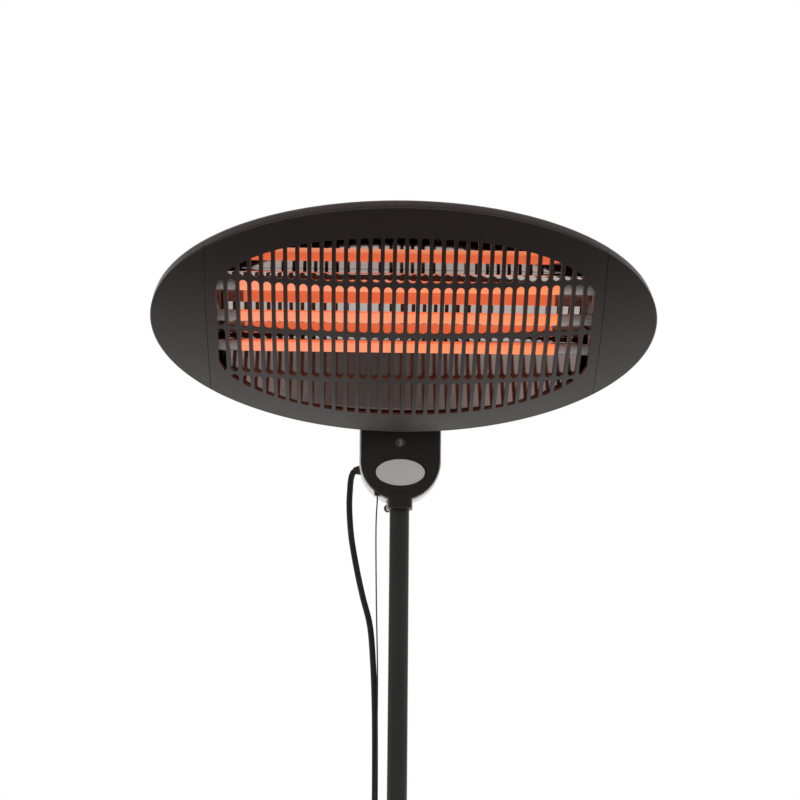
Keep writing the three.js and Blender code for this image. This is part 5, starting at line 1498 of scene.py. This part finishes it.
# Half width, half height and height of the pan's sections, from its flat back to its edge.
pan_sections = [(PAN_FLAT_A, PAN_FLAT_B, -PAN_DEPTH), (229.0, 98.5, -57.66), (257.0, 118.4, -42.16),
                (264.6, 131.8, -21.9), (264.7, 133.8, PAN_EDGE)]
smooth_sections = smooth_route(pan_sections, 4.0)
smooth_sections += [Vector((263.8, 132.9, PAN_EDGE)), Vector((260.9, 130.9, PAN_EDGE)),
                    Vector((260.9, 130.9, PAN_EDGE + 5.6))]
PAN_SIDES = 144
pan = Patch()
rows = []
for a, b, z in smooth_sections:
    share = min(1.0, max(0.0, (z + 50) / 30))
    rows.append([(a * math.cos(t), b * math.sin(t), z + share * bow(a * math.cos(t)))
                 for t in (2 * math.pi * i / PAN_SIDES for i in range(PAN_SIDES + 1))])
pan.grid(rows)


def pan_outward(p):
    """Away from the middle of the head, and backward on its flat back."""
    return Vector((p.x / RIM_A ** 2, p.y / RIM_B ** 2, -0.004 if p.z < -40 else 0.0))


face_outward(pan, pan_outward)
VENT_WIDTH, VENT_HEIGHT, VENT_PITCH, VENT_ASIDE = 5.0, 18.0, 16, 44
VENT_TOP, VENT_ROW, VENT_ARC = 30, 26, 8
flat = bmesh.new()
turns = [2 * math.pi * i / PAN_SIDES for i in range(PAN_SIDES)]
loops = [[(PAN_FLAT_A * math.cos(t), PAN_FLAT_B * math.sin(t)) for t in turns]]
for side, _ in SIDES:
    for row in range(2):
        for column in range(5):
            vent_x, vent_y = side * (VENT_ASIDE + column * VENT_PITCH), VENT_TOP - row * VENT_ROW
            straight = VENT_HEIGHT / 2 - VENT_WIDTH / 2
            outline = []
            for centre_y, start_angle in ((vent_y + straight, 0), (vent_y - straight, 180)):
                for j in range(VENT_ARC + 1):
                    a = math.radians(start_angle + 180 * j / VENT_ARC)
                    outline.append((vent_x + VENT_WIDTH / 2 * math.cos(a),
                                    centre_y + VENT_WIDTH / 2 * math.sin(a)))
            loops.append(outline)
for loop in loops:
    made = [flat.verts.new((x, y, -PAN_DEPTH)) for x, y in loop]
    for a, b in zip(made, made[1:] + made[:1]):
        flat.edges.new((a, b))
bmesh.ops.triangle_fill(flat, use_beauty=True, use_dissolve=False, edges=flat.edges)
flat.verts.ensure_lookup_table()
flat.verts.index_update()
offset = pan.add([tuple(v.co) for v in flat.verts])
for f in flat.faces:
    corners = [v.index for v in f.verts]
    if f.normal.z > 0 or (f.normal.length < 0.5 and f.calc_center_median().z > 0):
        corners.reverse()
    pan.faces.append(tuple(offset + c for c in corners))
flat.free()
skin_piece("head_pan", pan, PAN_SHEET, head_coat, "rear_housing", ease=0.25,
           merge=0.05)


# ------------------------------------------------------------------ reflector
# Polished aluminium sheet, folded into a flat trough with two wings that rise at 31 degrees
# and stop short of the front. The lower wing is duller and more wavy than the rest.

FLAT, TROUGH, REFLECTOR_HALF, MIRROR_SHEET = 42.0, -32.0, 196.0, 0.8
WING, WING_RISE = 110.0, math.radians(31)
WING_LIP = TROUGH + (WING - FLAT) * math.tan(WING_RISE)
FRONT_GAP, RIM_GAP = 4.4, 5.0
mirror = finish_material("polished_sheet", (0.80, 0.77, 0.735), 0.03, 1.0)
HEAD_UP = (0.0, math.cos(HEAD_TURN), math.sin(HEAD_TURN))
head_middle = HEAD_CENTRE.dot(Vector(HEAD_UP))
low_wing = mirror.spread(
    mirror.height_along(HEAD_UP), 1.0, 0.0, head_middle - 0.062, head_middle - 0.048)
sway = mirror.noise(7, 1) + low_wing * mirror.noise(26, 2) * 2.2
feed(mirror,
     roughness=mirror.spread(mirror.noise(30, 4), 0.02, 0.045, 0.3, 0.7) + low_wing * 0.07,
     base_color=mirror.mix(low_wing, (0.80, 0.77, 0.735), (0.80, 0.71, 0.685)),
     normal=mirror.bump(sway, 0.0004, 0.2))
# Each station of the sheet reaches as far up its wings as the front and the rim leave room.
FOLD_RADIUS, FOLD_STEPS, WING_STEPS, STATIONS, FINENESS = 3.0, 5, 10, 56, 200
half_profile = [(0.0, TROUGH), (FLAT - FOLD_RADIUS, TROUGH)]
for i in range(1, FOLD_STEPS + 1):
    t = i / FOLD_STEPS
    half_profile.append((FLAT - FOLD_RADIUS + FOLD_RADIUS * (2 * t * (1 - t) + t * t * 1.7),
                         TROUGH + FOLD_RADIUS * 0.7 * t * t))
fold_y, fold_z = half_profile[-1]
wing_y, wing_z = WING - fold_y, WING_LIP - fold_z
rows = []
for i in range(STATIONS + 1):
    x = -REFLECTOR_HALF + 2 * REFLECTOR_HALF * i / STATIONS
    reach = 0.0
    for j in range(FINENESS + 1):
        t = j / FINENESS
        y, z = fold_y + wing_y * t, fold_z + wing_z * t
        if z < dome(x, y) - FRONT_GAP and y < rim_height(x) - RIM_GAP:
            reach = t
    half = half_profile + [
        (fold_y + wing_y * reach * j / WING_STEPS, fold_z + wing_z * reach * j / WING_STEPS)
        for j in range(1, WING_STEPS + 1)]
    rows.append([(x, -y, z) for y, z in reversed(half[1:])] + [(x, y, z) for y, z in half])
trough = Patch()
trough.grid(rows)
face_outward(trough)
skin_piece("mirror_trough", trough, MIRROR_SHEET, mirror, "reflector", ease=0.0)


# ------------------------------------------------------------------ quartz tubes
# Three opal quartz tubes with a coiled wire inside. The lit part glows, and a metal sleeve
# closes each cold end before it enters its ceramic socket.

TUBE_RADIUS, TUBE_HALF, TUBE_PITCH, TUBE_DEPTH = 6.0, 203.0, 36.6, -11.0
LIT_HALF = {-1: 171.0, 1: 162.0}
glow = finish_material("glowing_quartz", (0.30, 0.10, 0.06), 0.22,
                       constants=[("Emission Strength", 0.93)])
along = glow.place(0)
coil_lines = glow.node("ShaderNodeTexWave", {"bands_direction": "X", "wave_profile": "SIN"}, {
    "Vector": glow.place(), "Scale": 95.0, "Distortion": 0.6, "Detail": 1.0})
warmth = glow.spread(along, 0.0, 1.0, -0.12, 0.17)
salmon = glow.mix(coil_lines * 0.35, (1.0, 0.325, 0.185), (1.0, 0.26, 0.12))
orange = glow.mix(coil_lines * 0.45, (1.0, 0.29, 0.10), (0.98, 0.22, 0.065))
HEAD_FORWARD = (0.0, -math.sin(HEAD_TURN), math.cos(HEAD_TURN))
axis_height = HEAD_CENTRE.dot(Vector(HEAD_FORWARD)) + TUBE_DEPTH * MM
# Painted reflection: the half of each tube that faces back, toward the mirror, glows a darker
# orange than its front, so that its image in the mirror looks darker.
painted_dark_back = glow.spread(
    glow.height_along(HEAD_FORWARD), 1.0, 0.0, axis_height + 0.0004, axis_height + 0.0028)
feed(glow, emission_color=glow.mix(painted_dark_back, glow.mix(warmth, salmon, orange), (0.93, 0.165, 0.062)))
sleeve_metal = finish_material("sleeve_metal", (0.74, 0.71, 0.70), 0.34, 0.15)
feed(sleeve_metal, roughness=sleeve_metal.spread(sleeve_metal.noise(90, 2), 0.30, 0.38, 0.3, 0.7))
for row in (-1, 0, 1):
    place = HEAD @ Matrix.Translation((0, row * TUBE_PITCH, TUBE_DEPTH)) @ ALONG_X
    tube = piece(f"quartz_rod_{row + 2}", *turned_form([
        (0, -LIT_HALF[-1] - 4), (TUBE_RADIUS - 0.1, -LIT_HALF[-1] - 4),
        (TUBE_RADIUS - 0.1, LIT_HALF[1] + 4), (0, LIT_HALF[1] + 4)], 0.3, 48), glow, "head", place)
    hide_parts(f"quartz_tube_{row + 2}")
    for side, word in SIDES:
        a, b = side * LIT_HALF[side], side * TUBE_HALF
        sleeve = piece(f"tube_sleeve_{row + 2}_{word}", *turned_form([
            (0, a), (TUBE_RADIUS - 0.05, a), (TUBE_RADIUS, a + side * 1.5),
            (TUBE_RADIUS, a + side * 4), (TUBE_RADIUS - 0.4, a + side * 5),
            (TUBE_RADIUS - 0.4, a + side * 7), (TUBE_RADIUS, a + side * 8), (TUBE_RADIUS, b),
            (0, b)], 0.3, 48), sleeve_metal, "head", place)

china = finish_material("socket_ceramic", (0.74, 0.71, 0.66), 0.6)
feed(china,
     base_color=china.ramp(china.noise(200, 5), (0.3, (0.68, 0.65, 0.60)),
                           (0.7, (0.79, 0.76, 0.71))),
     normal=china.bump(china.noise(800, 3), 0.0001, 0.5))
for _, word in SIDES:
    dress(f"tube_holder_{word}", china, 0.5, "head", f"ceramic_bar_{word}")


# ------------------------------------------------------------------ sizes
# The low and high corners of the solids' box and of the dressed heater's box are worked out.


def corners(box):
    """The low and high corner of a box as plain numbers."""
    return [list(map(float, corner)) for corner in box]


{"solids": corners(solid_box), "visual": corners(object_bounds())}
